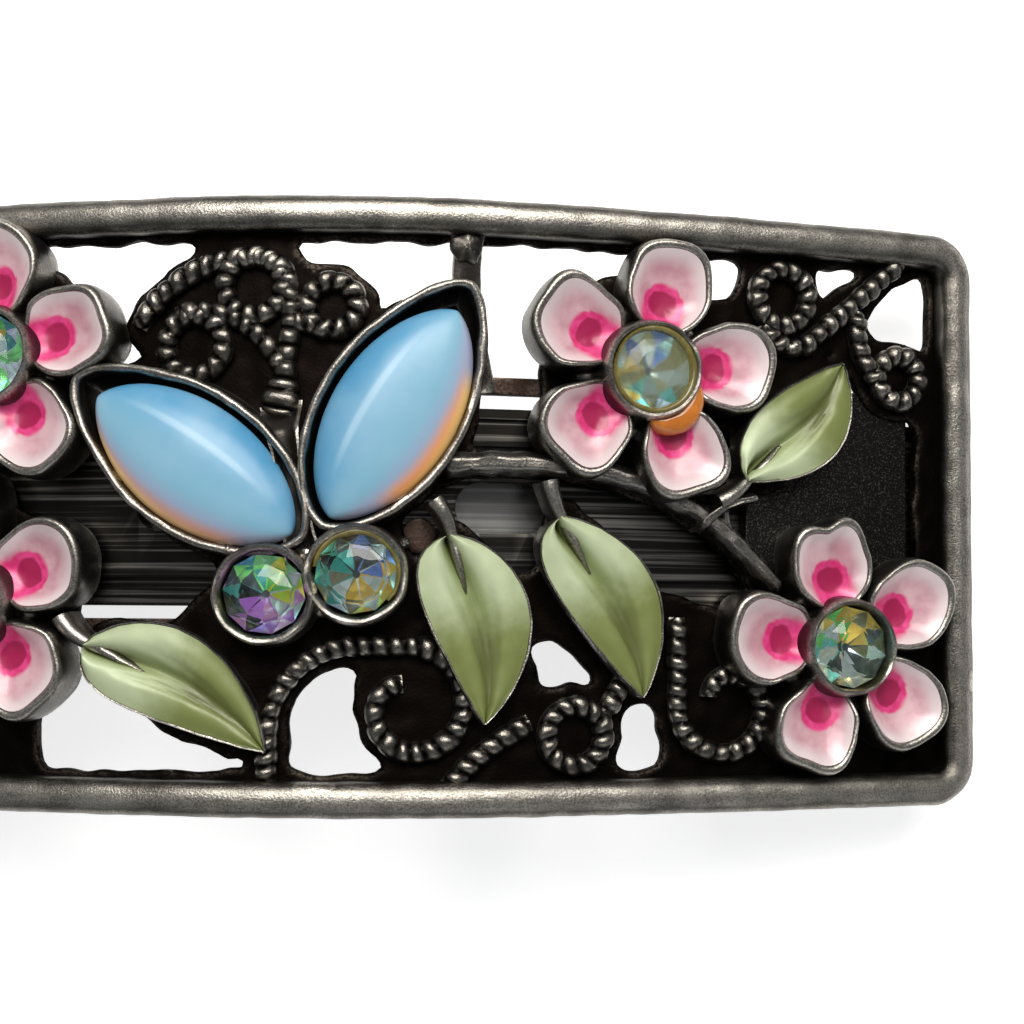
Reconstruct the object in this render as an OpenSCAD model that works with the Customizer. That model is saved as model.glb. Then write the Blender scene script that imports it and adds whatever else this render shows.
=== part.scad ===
// Rhinestone hair clip: an arched openwork casting with enamel flowers, leaves and a butterfly of
// opal stones, on a French clasp. It lies closed on its clasp, with the decorated side up.
// s is the distance along the arch from its crown, y runs across the clip, h is the height above
// the arch's own surface.

/* [Arch] */
// Length of half the front, measured along the arch
half_len = 34.8; // [34.6:0.1:35.2]
// Width of the front
front_w = 31; // [30.6:0.1:32]
// Radius of the tighter bend at the crown
crown_r = 45; // [43:1:50]
// Half the angle that the crown's bend covers
crown_angle = 12.5; // [11.5:0.5:13]
// Radius of the flatter flanks
flank_r = 190; // [180:5:200]
// Height of the crown above the surface that the clip lies on
crown_z = 12.4; // [12.4:0.1:12.8]

/* [Casting] */
// Width of the rim
rim_w = 1.8; // [1.6:0.1:2]
// Outer radius of the rim's corners
corner_r = 2.2; // [1.6:0.1:2.6]
// Width of a scroll's strand
strand_w = 1.05; // [0.9:0.05:1.1]
// Width of the ground plate that shows round a scroll's ring
ground_margin = 0.9; // [0.7:0.1:1]
// Width of the twig
twig_w = 1.1; // [0.9:0.1:1.3]

/* [Flowers and leaves] */
// Radius of a petal's cup
petal_r = 2.3; // [2.1:0.05:2.4]
// Distance of a petal's middle from the flower's middle
petal_reach = 4.4; // [4.2:0.1:4.4]
// Thickness of the metal wall round an enamel fill
wall = 0.4; // [0.3:0.05:0.5]

/* [Stones] */
// Radius of a flower's rhinestone
chaton_r = 2.15; // [1.9:0.05:2.2]
// Radius of an eye's rhinestone
eye_r = 2; // [1.8:0.05:2.1]
// Length of a wing's opal stone
opal_len = 12; // [11.5:0.1:12.2]
// Width of a wing's opal stone
opal_w = 6; // [5.6:0.1:6.2]

/* [Clasp] */
// Width of the clasp's base strip
strip_w = 10.2; // [10:0.1:10.6]
// Thickness of the base strip
strip_t = 0.5; // [0.4:0.05:0.6]
// Width of the clasp's arm
arm_w = 4.8; // [4.4:0.1:5]
// Height of the arm's own arch at mid length
arm_rise = 2; // [1.6:0.1:2.1]
// Radius of the hinge pin
pin_r = 0.6; // [0.5:0.05:0.65]
// Radial running clearance of the hinge
pin_gap = 0.05; // [0.03:0.01:0.08]

/* [Hidden] */
$fn = 48;
eps = 0.01;

// How far a cut starts before the face that it cuts
cut_lead = 1;

// Longest straight piece in a curved route
route_step = 0.8;

// Heights above the arch's surface
rim_top = 1.0;
rim_shoulder = 0.5;
rim_bottom = -1.2;
rim_bevel = 0.3;
ornament_bottom = -0.8;
ground_top = -0.35;
pad_top = -0.6;
strip_top = -1.4;
strip_bottom = strip_top - strip_t;

// Layout along the arch
crown_s = crown_r * crown_angle * PI / 180;
seam_margin = 0.2;
seam_s = half_len - corner_r - seam_margin;
pad_s = [21.6, 31.4];
pad_w = 13.4;
strip_s = 32.8;
rail_y = 6.2;
rail_w = 0.9;
rail_top = -0.7;
strut_s = 6.5;
strut_w = 1.5;
strut_h = 1.1;
inner_corner_r = 0.6;
overlap = 0.2;

// Flowers: s, y, turn
FLOWERS = [[15.5, 7, 5], [26.5, -7, 30], [-18, 7.5, 15], [-19, -5, 25]];

// Leaves: s and y of the base, direction, length, width
LEAVES = [
    [-12.5, -7, -30, 10.5, 5],
    [5.5, -1.5, -80, 9.5, 5.5],
    [11, -0.5, -65, 10, 5],
    [21, 1.5, 50, 8.5, 4.5],
    [-25, 1, 130, 8.5, 4.5],
    [-25, -8, 205, 7.5, 4]
];

// Wings: s and y of the stone's middle, direction
WINGS = [[-7, 2, -35], [2.5, 4.5, 60]];

// Eyes: s, y
EYES = [[-3.5, -4.5], [1, -3.5]];

// Squeezed-out glue beside two of the stones: s, y, height, radius
GLUE = [[17.5, 4.5, 1.1, 0.7], [2.5, -1, 1, 0.6]];

// A route is its start, its heading, and its bends. A bend is a radius and a sweep in degrees, to the
// left where the sweep is positive. A radius of 0 runs straight, for the second number's length.
TWIG = [[5, 2], 5, [[40, -10], [15, -40], [0, 2.5]]];
SHOOT = [[18.5, -1], 60, [[3, -45], [0, 1.5]]];
SPUR = [[20, 0.5], -100, [[3, 50]]];

// Routes of the larger curls: a rising stem that rolls up clockwise, and a falling one that rolls
// up the other way
ROLLED_ARCH = [[0, 2.5], [4.5, -90], [0, 2.5], [2.8, -90], [2.5, -90], [2, -90], [1.4, -90]];
ROLLED_HOOK = [[0, 4.5], [2.5, 90], [2.3, 90], [1.8, 90], [1.2, 90]];

// Scroll groups: s of the middle, routes of the strands, rings as s, y and radius
SCROLLS = [
    [-5, [
        [[-10.5, 9], 60, [[7, -60], [1.8, -90], [0, 1.5]]],
        [[-2.6, 10.5], -90, [[30, -12]]],
        [[-8.5, 9.5], 20, [[4, -60], [6, -25]]],
        [[-2.7, 9.5], -45, [[1.6, 60]]]
     ], [[-4.5, 11, 1.5], [-7.5, 8, 1.5], [-0.5, 10, 1.25]]],
    [27, [
        [[22.5, 10], -75, [[1.6, 115], [0, 7.5]]],
        [[28, 11], -100, [[4, 60]]]
     ], [[23.5, 11.5, 1.5], [30.5, 7.5, 1.25]]],
    [1, [[[-3.5, -14], 90, ROLLED_ARCH]], []],
    [10, [
        [[5.5, -14], 50, [[12, -25]]],
        [[13.5, -10.5], 60, [[0, 2]]]
     ], [[12, -11.5, 1.5]]],
    [20, [[[17.5, -5.5], -90, ROLLED_HOOK]], []],
    [-28, [[[-24.5, 13.5], -120, [[4, -70], [3, -40]]]], [[-28.5, 12, 1.25], [-31, 8.5, 1.25]]],
    [-29, [[[-33, -2.5], -70, [[0, 2], [2.5, 90], [2, 90], [1.5, 90]]]], [[-26.5, -12.5, 1.5]]]
];

// Plain ground plates in the lower corners: s from and to, y from and to
CORNER_WEBS = [[16.8, 33.2, -13.9, -6.6], [-33.2, -15.5, -13.9, -6.6]];

// Twig and its thinner stems: s of the middle, height and widths, then the strands' level and height
twig_s = 14;
twig_h = 1.6;
shoot_w = 0.8;
spur_w = 0.7;
strand_bottom = -0.6;
strand_h = 1.1;

// Flowers and leaves
petal_floor = 0.7;
petal_fill = 1.3;
petal_rim = 1.7;
hub_r = 2.9;
hub_top = 1;
flower_ground_margin = 0.7;
flower_ground_r = petal_reach + flower_ground_margin;
seat_floor = 1.1;
seat_rim = 2.3;
seat_wall = 0.45;
seat_r = chaton_r + seat_wall;
leaf_floor = 0.5;
leaf_rim = 1.2;
leaf_fill_t = 0.9;
leaf_inset = 0.8;
leaf_stalk = [2.4, 0.8];

// A stone's girdle and crown, and the share of its radius that its flat table takes
girdle_h = 0.6;
crown_h = 0.8;
table_share = 0.55;

// The butterfly
bezel_wall = 0.6;
bezel_point = 0.96;
bezel_top = 1.6;
opal_seat = 0.5;
opal_girdle = 1.3;
opal_top = 2.5;
eye_cup_r = 2.55;
eye_cup_top = 2;
eye_seat = 1;
body_s = -2;
body_h = 1.8;
BODY = [[-3.5, 4.5], [-2, 4.5], [0.5, -2.5], [-2.5, -3.5]];

// The clasp
// Hinge: its pin as x and z, the arm's knuckle, and the ears with the heights that their two edges
// reach to inside the strip
hinge = [-29.5, 1.3];
knuckle_r = 1.3;
knuckle_w = 5.2;
ear_r = 1.2;
ear_y = 2.7;
ear_t = 0.6;
ear_roots = [3.65, 4.5];
pin_head_r = 0.95;
pin_head_t = 0.3;
bore_reach = 5;

// Rivets: pegs through the pads, and a stud at s and y
peg_s = 27;
peg_r = 0.9;
peg_head_r = 1.3;
peg_head_t = 0.4;
stud = [4, -1.5];
stud_rise = 0.4;
bore_h = 3;

// Ribs and slots of the strip
rib_y = [3.4, 4.8];
rib_w = 0.5;
rib_top = -1.15;
rib_inset = 0.3;
slot_s = 8.5;
slot_len = 5;
slot_w = 2.6;

// Catch prongs: inner leg, bridge and outer leg in x and z, and the barrel that each turns on
prong_y = 2.95;
prong_z = 3.2;
prong_t = 0.5;
inner_leg = [27.3, 29.3];
inner_foot = 0.15;
bridge_z = [2, 2.7];
outer_leg = [31.4, 33];
outer_foot = 0.5;
root_x = 30.3;
barb = [[0, 0.15], [0.3, 0.15], [0.4, 0.45], [0, 0.75]];
finger_pad = [32.4, 1.6];
finger_pad_r = 1;
finger_pad_t = 0.7;
barrel_r = 0.35;
barrel_len = 2.8;
barrel_x = 27.4;
seat_gap = 0.05;
seat_x = [27.4, 30.2];
seat_roots = [4.7, 3.8];
seat_w = 1.5;

// Tension spring, and the straps that hold its ends
spring_w = 4.4;
spring_t = 0.35;
spring_s = 25.5;
spring_bow = 1.3;
spring_gap = 0.05;
strap_s = 24.9;
strap_h = -2.9;
strap_len = 1;
strap_floor_t = 0.4;
strap_side = 0.7;
strap_wall = 0.5;
strap_wall_h = 1.1;

// Arm: its strip, its flanges, and the loop at its end with a window and a lip
arm_end = 33;
arm_x = [-28.9, 26];
arm_t = 0.5;
arm_steps = 24;
flange_x = [-27.9, 25.6];
flange_h = 1;
loop_z = [0.8, 1.6];
loop_x = [25.2, 31];
loop_w = 9.2;
loop_corner_r = 0.8;
window_x = [27, 29.6];
window_w = 6.8;
lip_t = 0.6;
lip_w = 6;

// Every sub-part's name

// ---- the arch ----

// Slope of the arch at s, in degrees
function arch_angle(s) =
    abs(s) <= crown_s
        ? s / crown_r * 180 / PI
        : sign(s) * (crown_angle + (abs(s) - crown_s) / flank_r * 180 / PI);

// Middle of the arc that s lies on, as x and z
function arc_middle(s) =
    abs(s) <= crown_s
        ? [0, crown_z - crown_r]
        : [0, crown_z - crown_r]
            - (flank_r - crown_r) * [sign(s) * sin(crown_angle), cos(crown_angle)];

// x and z of a point at s, h above the arch
function arch_point(s, h) =
    let (a = arch_angle(s), r = abs(s) <= crown_s ? crown_r : flank_r)
    arc_middle(s) + (r + h) * [sin(a), cos(a)];

// Puts children, drawn flat, on the arch at s with their own s and y as they are
module on_arch(s, h) {
    p = arch_point(s, h);
    translate([p.x, 0, p.y])
        rotate([0, arch_angle(s), 0])
            translate([-s, 0, 0])
                children();
}

// Positions along the arch from s0 to s1, close enough to follow its curve
function arch_stations(s0, s1) =
    let (n = max(4, ceil(abs(s1 - s0) / 2)))
    [for (i = [0 : n]) s0 + (s1 - s0) * i / n];

// A plate that follows the arch from s0 to s1, between h0 and h1 and between y0 and y1
module arched_plate(s0, s1, y0, y1, h0, h1) {
    stations = arch_stations(s0, s1);
    n = len(stations);
    under = [for (s = stations) arch_point(s, h0)];
    over = [for (i = [1 : n]) arch_point(stations[n - i], h1)];
    side_profile(y0, y1) polygon(concat(under, over));
}

// Extrudes an outline in x and z from y0 to y1
module side_profile(y0, y1)
    translate([0, y1, 0])
        rotate([90, 0, 0])
            linear_extrude(y1 - y0)
                children();

// ---- curves and outlines ----

// The point at fraction t of a bend that starts at p with the given heading
function along(p, heading, bend, t) =
    bend[0] == 0
        ? p + bend[1] * t * [cos(heading), sin(heading)]
        : let (a = heading + bend[1] * t)
            p + sign(bend[1]) * bend[0] * [sin(a) - sin(heading), cos(heading) - cos(a)];

function bend_length(bend) = bend[0] == 0 ? bend[1] : bend[0] * abs(bend[1]) * PI / 180;

// Points along the bends from the k-th on
function route_points(p, heading, bends, k = 0) =
    k == len(bends)
        ? [p]
        : let (bend = bends[k], steps = ceil(bend_length(bend) / route_step))
            concat(
                [for (i = [0 : steps - 1]) along(p, heading, bend, i / steps)],
                route_points(
                    along(p, heading, bend, 1), heading + (bend[0] == 0 ? 0 : bend[1]), bends, k + 1));

// The place beside point i of a line of points, at the given offset to the left
function beside(points, i, offset) =
    let (d = points[min(i + 1, len(points) - 1)] - points[max(i - 1, 0)])
    points[i] + offset * [-d.y, d.x] / norm(d);

// A band of width w along a route
module band(route, w) {
    points = route_points(route[0], route[1], route[2]);
    n = len(points);
    left = [for (i = [0 : n - 1]) beside(points, i, w / 2)];
    right = [for (i = [1 : n]) beside(points, n - i, -w / 2)];
    polygon(concat(left, right));
}

// A pointed oval from [0, 0] to [l, 0], of width w
module pointed_oval(l, w) {
    r = (l * l + w * w) / (4 * w);
    intersection() {
        translate([l / 2, r - w / 2]) circle(r, $fn = 120);
        translate([l / 2, w / 2 - r]) circle(r, $fn = 120);
    }
}

// A rectangle with rounded corners, from [x0, y0] to [x1, y1]
module rounded_box(x0, y0, x1, y1, r) {
    translate([x0 + r, y0]) square([x1 - x0 - 2 * r, y1 - y0]);
    translate([x0, y0 + r]) square([x1 - x0, y1 - y0 - 2 * r]);
    for (x = [x0 + r, x1 - r], y = [y0 + r, y1 - r])
        translate([x, y]) circle(r);
}

// Children of a flower or leaf, drawn round their own middle, turned and put on the arch
module placed(s, y, turn, h)
    on_arch(s, h)
        translate([s, y, 0])
            rotate([0, 0, turn])
                children();

// ---- the casting ----

// One long side of the rim: a full-width bar with a narrower, bevelled top
module rim_rail(side) {
    y_in = side > 0 ? front_w / 2 - rim_w : -front_w / 2;
    y_out = y_in + rim_w;
    color("dimgray") {
        arched_plate(-seam_s, seam_s, y_in, y_out, rim_bottom, rim_shoulder);
        arched_plate(-seam_s, seam_s, y_in + rim_bevel, y_out - rim_bevel, rim_shoulder - eps, rim_top);
    }
}

// Outline of the rim's right end, shrunk by a bevel
module rim_end_outline(bevel)
    difference() {
        intersection() {
            rounded_box(0, -front_w / 2 + bevel, half_len - bevel, front_w / 2 - bevel, corner_r - bevel);
            translate([seam_s, -front_w]) square([corner_r + cut_lead, 2 * front_w]);
        }
        rounded_box(
            0, -front_w / 2 + rim_w - bevel, half_len - rim_w + bevel, front_w / 2 - rim_w + bevel,
            inner_corner_r + bevel);
    }

module rim_right_end()
    color("dimgray")
        on_arch(seam_s, 0) {
            translate([0, 0, rim_bottom]) linear_extrude(rim_shoulder - rim_bottom) rim_end_outline(0);
            translate([0, 0, rim_shoulder - eps])
                linear_extrude(rim_top - rim_shoulder + eps) rim_end_outline(rim_bevel);
        }

module rim_left_end() mirror([1, 0, 0]) rim_right_end();

// Narrow rails behind the openwork that locate the clasp
module back_rail(side)
    color("dimgray")
        arched_plate(
            -pad_s[0], pad_s[0], side * rail_y - rail_w / 2, side * rail_y + rail_w / 2,
            strip_top, rail_top);

// Flat pad that the clasp is riveted to
module mounting_pad_right()
    color("dimgray")
        arched_plate(pad_s[0], pad_s[1], -pad_w / 2, pad_w / 2, strip_top, pad_top);

module mounting_pad_left() mirror([1, 0, 0]) mounting_pad_right();

// Cast bar from the upper rim to the back rail, beside the right wing
module cross_strut()
    color("dimgray")
        on_arch(strut_s, ornament_bottom)
            translate([strut_s - strut_w / 2, rail_y - rail_w / 2, 0])
                cube([strut_w, front_w / 2 - rim_w - rail_y + rail_w / 2 + overlap, strut_h]);

module twig()
    color("dimgray")
        on_arch(twig_s, ornament_bottom)
            linear_extrude(twig_h) {
                band(TWIG, twig_w);
                band(SHOOT, shoot_w);
                band(SPUR, spur_w);
            }

// A group of strands and rings, each ring standing on a round ground plate a little wider than it is
module scroll(i) {
    strands = SCROLLS[i][1];
    rings = SCROLLS[i][2];
    color("dimgray")
        on_arch(SCROLLS[i][0], 0) {
            translate([0, 0, strand_bottom])
                linear_extrude(strand_h) {
                    for (strand = strands)
                        band(strand, strand_w);
                    for (ring = rings)
                        translate([ring.x, ring.y])
                            difference() {
                                circle(ring[2] + strand_w / 2);
                                circle(ring[2] - strand_w / 2);
                            }
                }
            translate([0, 0, ornament_bottom])
                linear_extrude(ground_top - ornament_bottom)
                    for (ring = rings)
                        translate([ring.x, ring.y]) circle(ring[2] + ground_margin);
        }
}

// Plain ground that joins the ornaments of a lower corner to the rim
module corner_web(i) {
    web = CORNER_WEBS[i];
    color("dimgray") arched_plate(web[0], web[1], web[2], web[3], ornament_bottom, ground_top);
}

// ---- flowers and leaves ----

module petals(r, h0, h1)
    for (k = [0 : 4])
        rotate([0, 0, 72 * k])
            translate([petal_reach, 0, h0])
                cylinder(r = r, h = h1 - h0);

module flower_cup(i) {
    flower = FLOWERS[i];
    color("dimgray")
        placed(flower[0], flower[1], flower[2], 0) {
            difference() {
                union() {
                    petals(petal_r, ornament_bottom, petal_rim);
                    translate([0, 0, ornament_bottom]) cylinder(r = hub_r, h = hub_top - ornament_bottom);
                    translate([0, 0, ornament_bottom])
                        cylinder(r = flower_ground_r, h = ground_top - ornament_bottom);
                }
                petals(petal_r - wall, petal_floor, petal_rim + cut_lead);
            }
            difference() {
                cylinder(r = seat_r, h = seat_rim);
                translate([0, 0, seat_floor]) cylinder(r = chaton_r, h = seat_rim);
            }
        }
}

module petal_enamel(i) {
    flower = FLOWERS[i];
    color("pink")
        placed(flower[0], flower[1], flower[2], 0)
            difference() {
                petals(petal_r - wall, petal_floor, petal_fill);
                cylinder(r = seat_r, h = seat_rim);
            }
}

// A round rhinestone at p, on ground that lies as the arch does at s: a girdle with a crown that
// narrows to a flat table
module rhinestone(s, p, r, seat)
    color("lightcyan", 0.7)
        on_arch(s, seat)
            translate([p.x, p.y, 0]) {
                cylinder(r = r, h = girdle_h);
                translate([0, 0, girdle_h]) cylinder(r1 = r, r2 = r * table_share, h = crown_h);
            }

// Outline of a leaf's enamel, set in from the leaf's edge
module leaf_pocket(leaf)
    translate([leaf_inset, 0]) pointed_oval(leaf[3] - 2 * leaf_inset, leaf[4] - 2 * wall);

module leaf_cup(i) {
    leaf = LEAVES[i];
    color("dimgray")
        placed(leaf[0], leaf[1], leaf[2], 0)
            difference() {
                translate([0, 0, ornament_bottom])
                    linear_extrude(leaf_rim - ornament_bottom) {
                        pointed_oval(leaf[3], leaf[4]);
                        translate([-leaf_stalk.x / 2, -leaf_stalk.y / 2]) square(leaf_stalk);
                    }
                translate([0, 0, leaf_floor])
                    linear_extrude(leaf_rim) leaf_pocket(leaf);
            }
}

module leaf_enamel(i) {
    leaf = LEAVES[i];
    color("darkseagreen")
        placed(leaf[0], leaf[1], leaf[2], leaf_floor)
            linear_extrude(leaf_fill_t) leaf_pocket(leaf);
}

// ---- the butterfly ----

// Outline of a wing's bezel, longer than the stone at both points
module wing_outline() {
    reach = opal_len / 2 + bezel_point;
    translate([-reach, 0]) pointed_oval(2 * reach, opal_w + 2 * bezel_wall);
}

module wing_bezel(i) {
    wing = WINGS[i];
    color("dimgray")
        placed(wing[0], wing[1], wing[2], 0)
            difference() {
                translate([0, 0, ornament_bottom])
                    linear_extrude(bezel_top - ornament_bottom) wing_outline();
                translate([-opal_len / 2, 0, opal_seat])
                    linear_extrude(opal_top) pointed_oval(opal_len, opal_w);
            }
}

// A pointed cabochon, domed across its width
module opal(i) {
    wing = WINGS[i];
    rise = opal_top - opal_girdle;
    dome_r = (opal_w * opal_w / 4 + rise * rise) / (2 * rise);
    color("lightskyblue", 0.8)
        placed(wing[0], wing[1], wing[2], 0)
            intersection() {
                translate([-opal_len / 2, 0, opal_seat])
                    linear_extrude(opal_top) pointed_oval(opal_len, opal_w);
                translate([-opal_len, 0, opal_top - dome_r])
                    rotate([0, 90, 0])
                        cylinder(r = dome_r, h = 2 * opal_len, $fn = 96);
            }
}

// Body between the wings, with the two cups that hold the eyes
module butterfly_body()
    color("dimgray")
        on_arch(body_s, ornament_bottom)
            difference() {
                union() {
                    linear_extrude(body_h) polygon(BODY);
                    for (eye = EYES)
                        translate(eye) cylinder(r = eye_cup_r, h = eye_cup_top - ornament_bottom);
                }
                for (eye = EYES)
                    translate([eye.x, eye.y, eye_seat - ornament_bottom])
                        cylinder(r = eye_r, h = eye_cup_top);
                for (wing = WINGS)
                    translate([wing[0], wing[1], -cut_lead])
                        rotate([0, 0, wing[2]])
                            linear_extrude(2 * eye_cup_top) wing_outline();
            }

module glue_beads()
    color("goldenrod")
        for (bead = GLUE)
            placed(bead[0], bead[1], 0, bead[2])
                intersection() {
                    sphere(r = bead[3]);
                    cylinder(r = bead[3], h = bead[3]);
                }

// ---- the clasp ----

// A round bar along y, at a point given as x and z
module cross_bar(p, r, y0, y1)
    translate([p.x, y1, p.y])
        rotate([90, 0, 0])
            cylinder(r = r, h = y1 - y0);

// One hinge ear, bent down from the strip's left end
module hinge_ear(y0) {
    cross_bar(hinge, ear_r, y0, y0 + ear_t);
    side_profile(y0, y0 + ear_t)
        polygon([
            [hinge.x - ear_r, hinge.y], [hinge.x + ear_r, hinge.y],
            [hinge.x + ear_r, ear_roots[1]], [hinge.x - ear_r, ear_roots[0]]
        ]);
}

// Block under the strip that the root of one catch prong turns in
module prong_seat(side)
    translate([0, side * prong_y, 0])
        side_profile(-seat_w / 2, seat_w / 2)
            polygon([
                [seat_x[0], prong_z], [seat_x[1], prong_z],
                [seat_x[1], seat_roots[1]], [seat_x[0], seat_roots[0]]
            ]);

// Strap that holds one end of the tension spring under the strip
module spring_strap(s) {
    reach = spring_w / 2 + strap_side;
    on_arch(s, strap_h)
        translate([s - strap_len / 2, 0, 0]) {
            translate([0, -reach, 0]) cube([strap_len, 2 * reach, strap_floor_t]);
            for (y = [-reach, reach - strap_wall])
                translate([0, y, 0]) cube([strap_len, strap_wall, strap_wall_h]);
        }
}

module clasp_base()
    color("gray")
        difference() {
            union() {
                arched_plate(-strip_s, strip_s, -strip_w / 2, strip_w / 2, strip_bottom, strip_top);
                for (side = [-1, 1], y = rib_y)
                    arched_plate(
                        -pad_s[0] + rib_inset, pad_s[0] - rib_inset,
                        side * y - rib_w / 2, side * y + rib_w / 2, strip_top - eps, rib_top);
                for (y = [ear_y, -ear_y - ear_t])
                    hinge_ear(y);
                for (side = [-1, 1]) {
                    prong_seat(side);
                    spring_strap(side * strap_s);
                }
            }
            for (side = [-1, 1])
                on_arch(side * slot_s, strip_bottom - cut_lead)
                    linear_extrude(bore_h)
                        rounded_box(
                            side * slot_s - slot_len / 2, -slot_w / 2,
                            side * slot_s + slot_len / 2, slot_w / 2, slot_w / 2 - eps);
            for (peg = [[-peg_s, 0], [peg_s, 0], stud])
                placed(peg.x, peg.y, 0, strip_bottom - cut_lead)
                    cylinder(r = peg_r, h = bore_h);
            cross_bar(hinge, pin_r, -bore_reach, bore_reach);
            for (side = [-1, 1])
                translate([barrel_x - cut_lead, side * prong_y, prong_z])
                    rotate([0, 90, 0])
                        cylinder(r = barrel_r + seat_gap, h = 2 * barrel_len);
        }

// Two pegs under the pads and a stud near the middle, each with a spread head below the strip
module rivet_pegs()
    color("dimgray")
        for (peg = [[-peg_s, 0, 0], [peg_s, 0, 0], [stud.x, stud.y, stud_rise]])
            placed(peg.x, peg.y, 0, strip_bottom) {
                cylinder(r = peg_r, h = strip_t + peg[2]);
                translate([0, 0, -peg_head_t]) cylinder(r = peg_head_r, h = peg_head_t);
            }

module hinge_pin()
    color("silver") {
        cross_bar(hinge, pin_r, -ear_y - ear_t, ear_y + ear_t);
        for (y = [-ear_y - ear_t - pin_head_t, ear_y + ear_t])
            cross_bar(hinge, pin_head_r, y, y + pin_head_t);
    }

// Height of the spring's upper face below the strip, at s
function spring_drop(s) = spring_gap + spring_bow * (1 - pow(s / spring_s, 2));

module tension_spring() {
    stations = arch_stations(-spring_s, spring_s);
    n = len(stations);
    over = [for (s = stations) arch_point(s, strip_bottom - spring_drop(s))];
    under = [for (i = [1 : n])
        let (s = stations[n - i]) arch_point(s, strip_bottom - spring_drop(s) - spring_t)];
    color("silver")
        side_profile(-spring_w / 2, spring_w / 2) polygon(concat(over, under));
}

// Height of the arm's underside at x
function arm_under(x) = arm_rise * (1 - pow(x / arm_end, 2));

// A strip of the arm from x0 to x1, t thick above its underside
module arm_strip(x0, x1, y0, y1, t) {
    xs = [for (i = [0 : arm_steps]) x0 + (x1 - x0) * i / arm_steps];
    under = [for (x = xs) [x, arm_under(x)]];
    over = [for (i = [0 : arm_steps]) let (x = xs[arm_steps - i]) [x, arm_under(x) + t]];
    side_profile(y0, y1) polygon(concat(under, over));
}

module clasp_arm()
    color("gray")
        difference() {
            union() {
                cross_bar(hinge, knuckle_r, -knuckle_w / 2, knuckle_w / 2);
                arm_strip(arm_x[0], arm_x[1], -arm_w / 2, arm_w / 2, arm_t);
                for (y = [-arm_w / 2, arm_w / 2 - arm_t])
                    arm_strip(flange_x[0], flange_x[1], y, y + arm_t, flange_h);
                translate([0, 0, loop_z[0]])
                    linear_extrude(loop_z[1] - loop_z[0])
                        difference() {
                            rounded_box(loop_x[0], -loop_w / 2, loop_x[1], loop_w / 2, loop_corner_r);
                            translate([window_x[0], -window_w / 2])
                                square([window_x[1] - window_x[0], window_w]);
                        }
                translate([loop_x[1] - lip_t, -lip_w / 2, 0]) cube([lip_t, lip_w, loop_z[0] + eps]);
            }
            cross_bar(hinge, pin_r + pin_gap, -bore_reach, bore_reach);
        }

// One catch prong: a bent plate whose inner leg passes through the arm's window and whose outer
// leg carries a finger pad, past the arm's end
module catch_prong(side)
    color("gray")
        translate([0, side * prong_y, 0])
            scale([1, side, 1]) {
                side_profile(-prong_t / 2, prong_t / 2)
                    polygon([
                        [inner_leg[0], inner_foot], [inner_leg[1], inner_foot],
                        [inner_leg[1], bridge_z[0]], [outer_leg[0], bridge_z[0]],
                        [outer_leg[0], outer_foot], [outer_leg[1], outer_foot],
                        [outer_leg[1], bridge_z[1]], [root_x, bridge_z[1]],
                        [root_x, prong_z], [inner_leg[0], prong_z]
                    ]);
                translate([barrel_x, 0, prong_z])
                    rotate([0, 90, 0])
                        cylinder(r = barrel_r, h = barrel_len);
                translate([inner_leg[0], 0, 0])
                    rotate([90, 0, 90])
                        linear_extrude(inner_leg[1] - inner_leg[0]) polygon(barb);
                cross_bar(finger_pad, finger_pad_r, 0, prong_t / 2 + finger_pad_t);
            }

// ---- what each name draws ----

rim_rail(1);  // rim_upper_rail
rim_rail(-1);  // rim_lower_rail
rim_right_end();
rim_left_end();
back_rail(1);  // back_rail_upper
back_rail(-1);  // back_rail_lower
mounting_pad_right();
mounting_pad_left();
cross_strut();
twig();
butterfly_body();
wing_bezel(0);  // wing_bezel_left
wing_bezel(1);  // wing_bezel_right
corner_web(0);  // corner_web_right
corner_web(1);  // corner_web_left
for (i = [1 : len(SCROLLS)])
    scroll(i - 1);
for (i = [1 : len(FLOWERS)])
    flower_cup(i - 1);
for (i = [1 : len(FLOWERS)])
    petal_enamel(i - 1);
for (i = [1 : len(FLOWERS)])
    rhinestone(FLOWERS[i - 1].x, FLOWERS[i - 1], chaton_r, seat_floor);
for (i = [1 : len(LEAVES)])
    leaf_cup(i - 1);
for (i = [1 : len(LEAVES)])
    leaf_enamel(i - 1);
opal(0);  // opal_left
opal(1);  // opal_right
rhinestone(body_s, EYES[0], eye_r, eye_seat);  // eye_stone_left
rhinestone(body_s, EYES[1], eye_r, eye_seat);  // eye_stone_right
glue_beads();
clasp_base();
rivet_pegs();
hinge_pin();
tension_spring();
clasp_arm();
catch_prong(1);  // catch_prong_upper
catch_prong(-1);  // catch_prong_lower
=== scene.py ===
"""Rhinestone hair clip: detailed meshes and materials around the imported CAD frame.

Lengths are in millimetres until a mesh is made. s is the distance along the clip's arch from its
crown, y runs across the clip and h is the height above the arch, as in the CAD source.
"""
import random
from bisect import bisect_right
from math import atan2, ceil, copysign, cos, exp, hypot, log, pi, radians, sin

import bmesh
import bpy
import numpy as np
from mathutils import Matrix, Vector, noise


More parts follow.
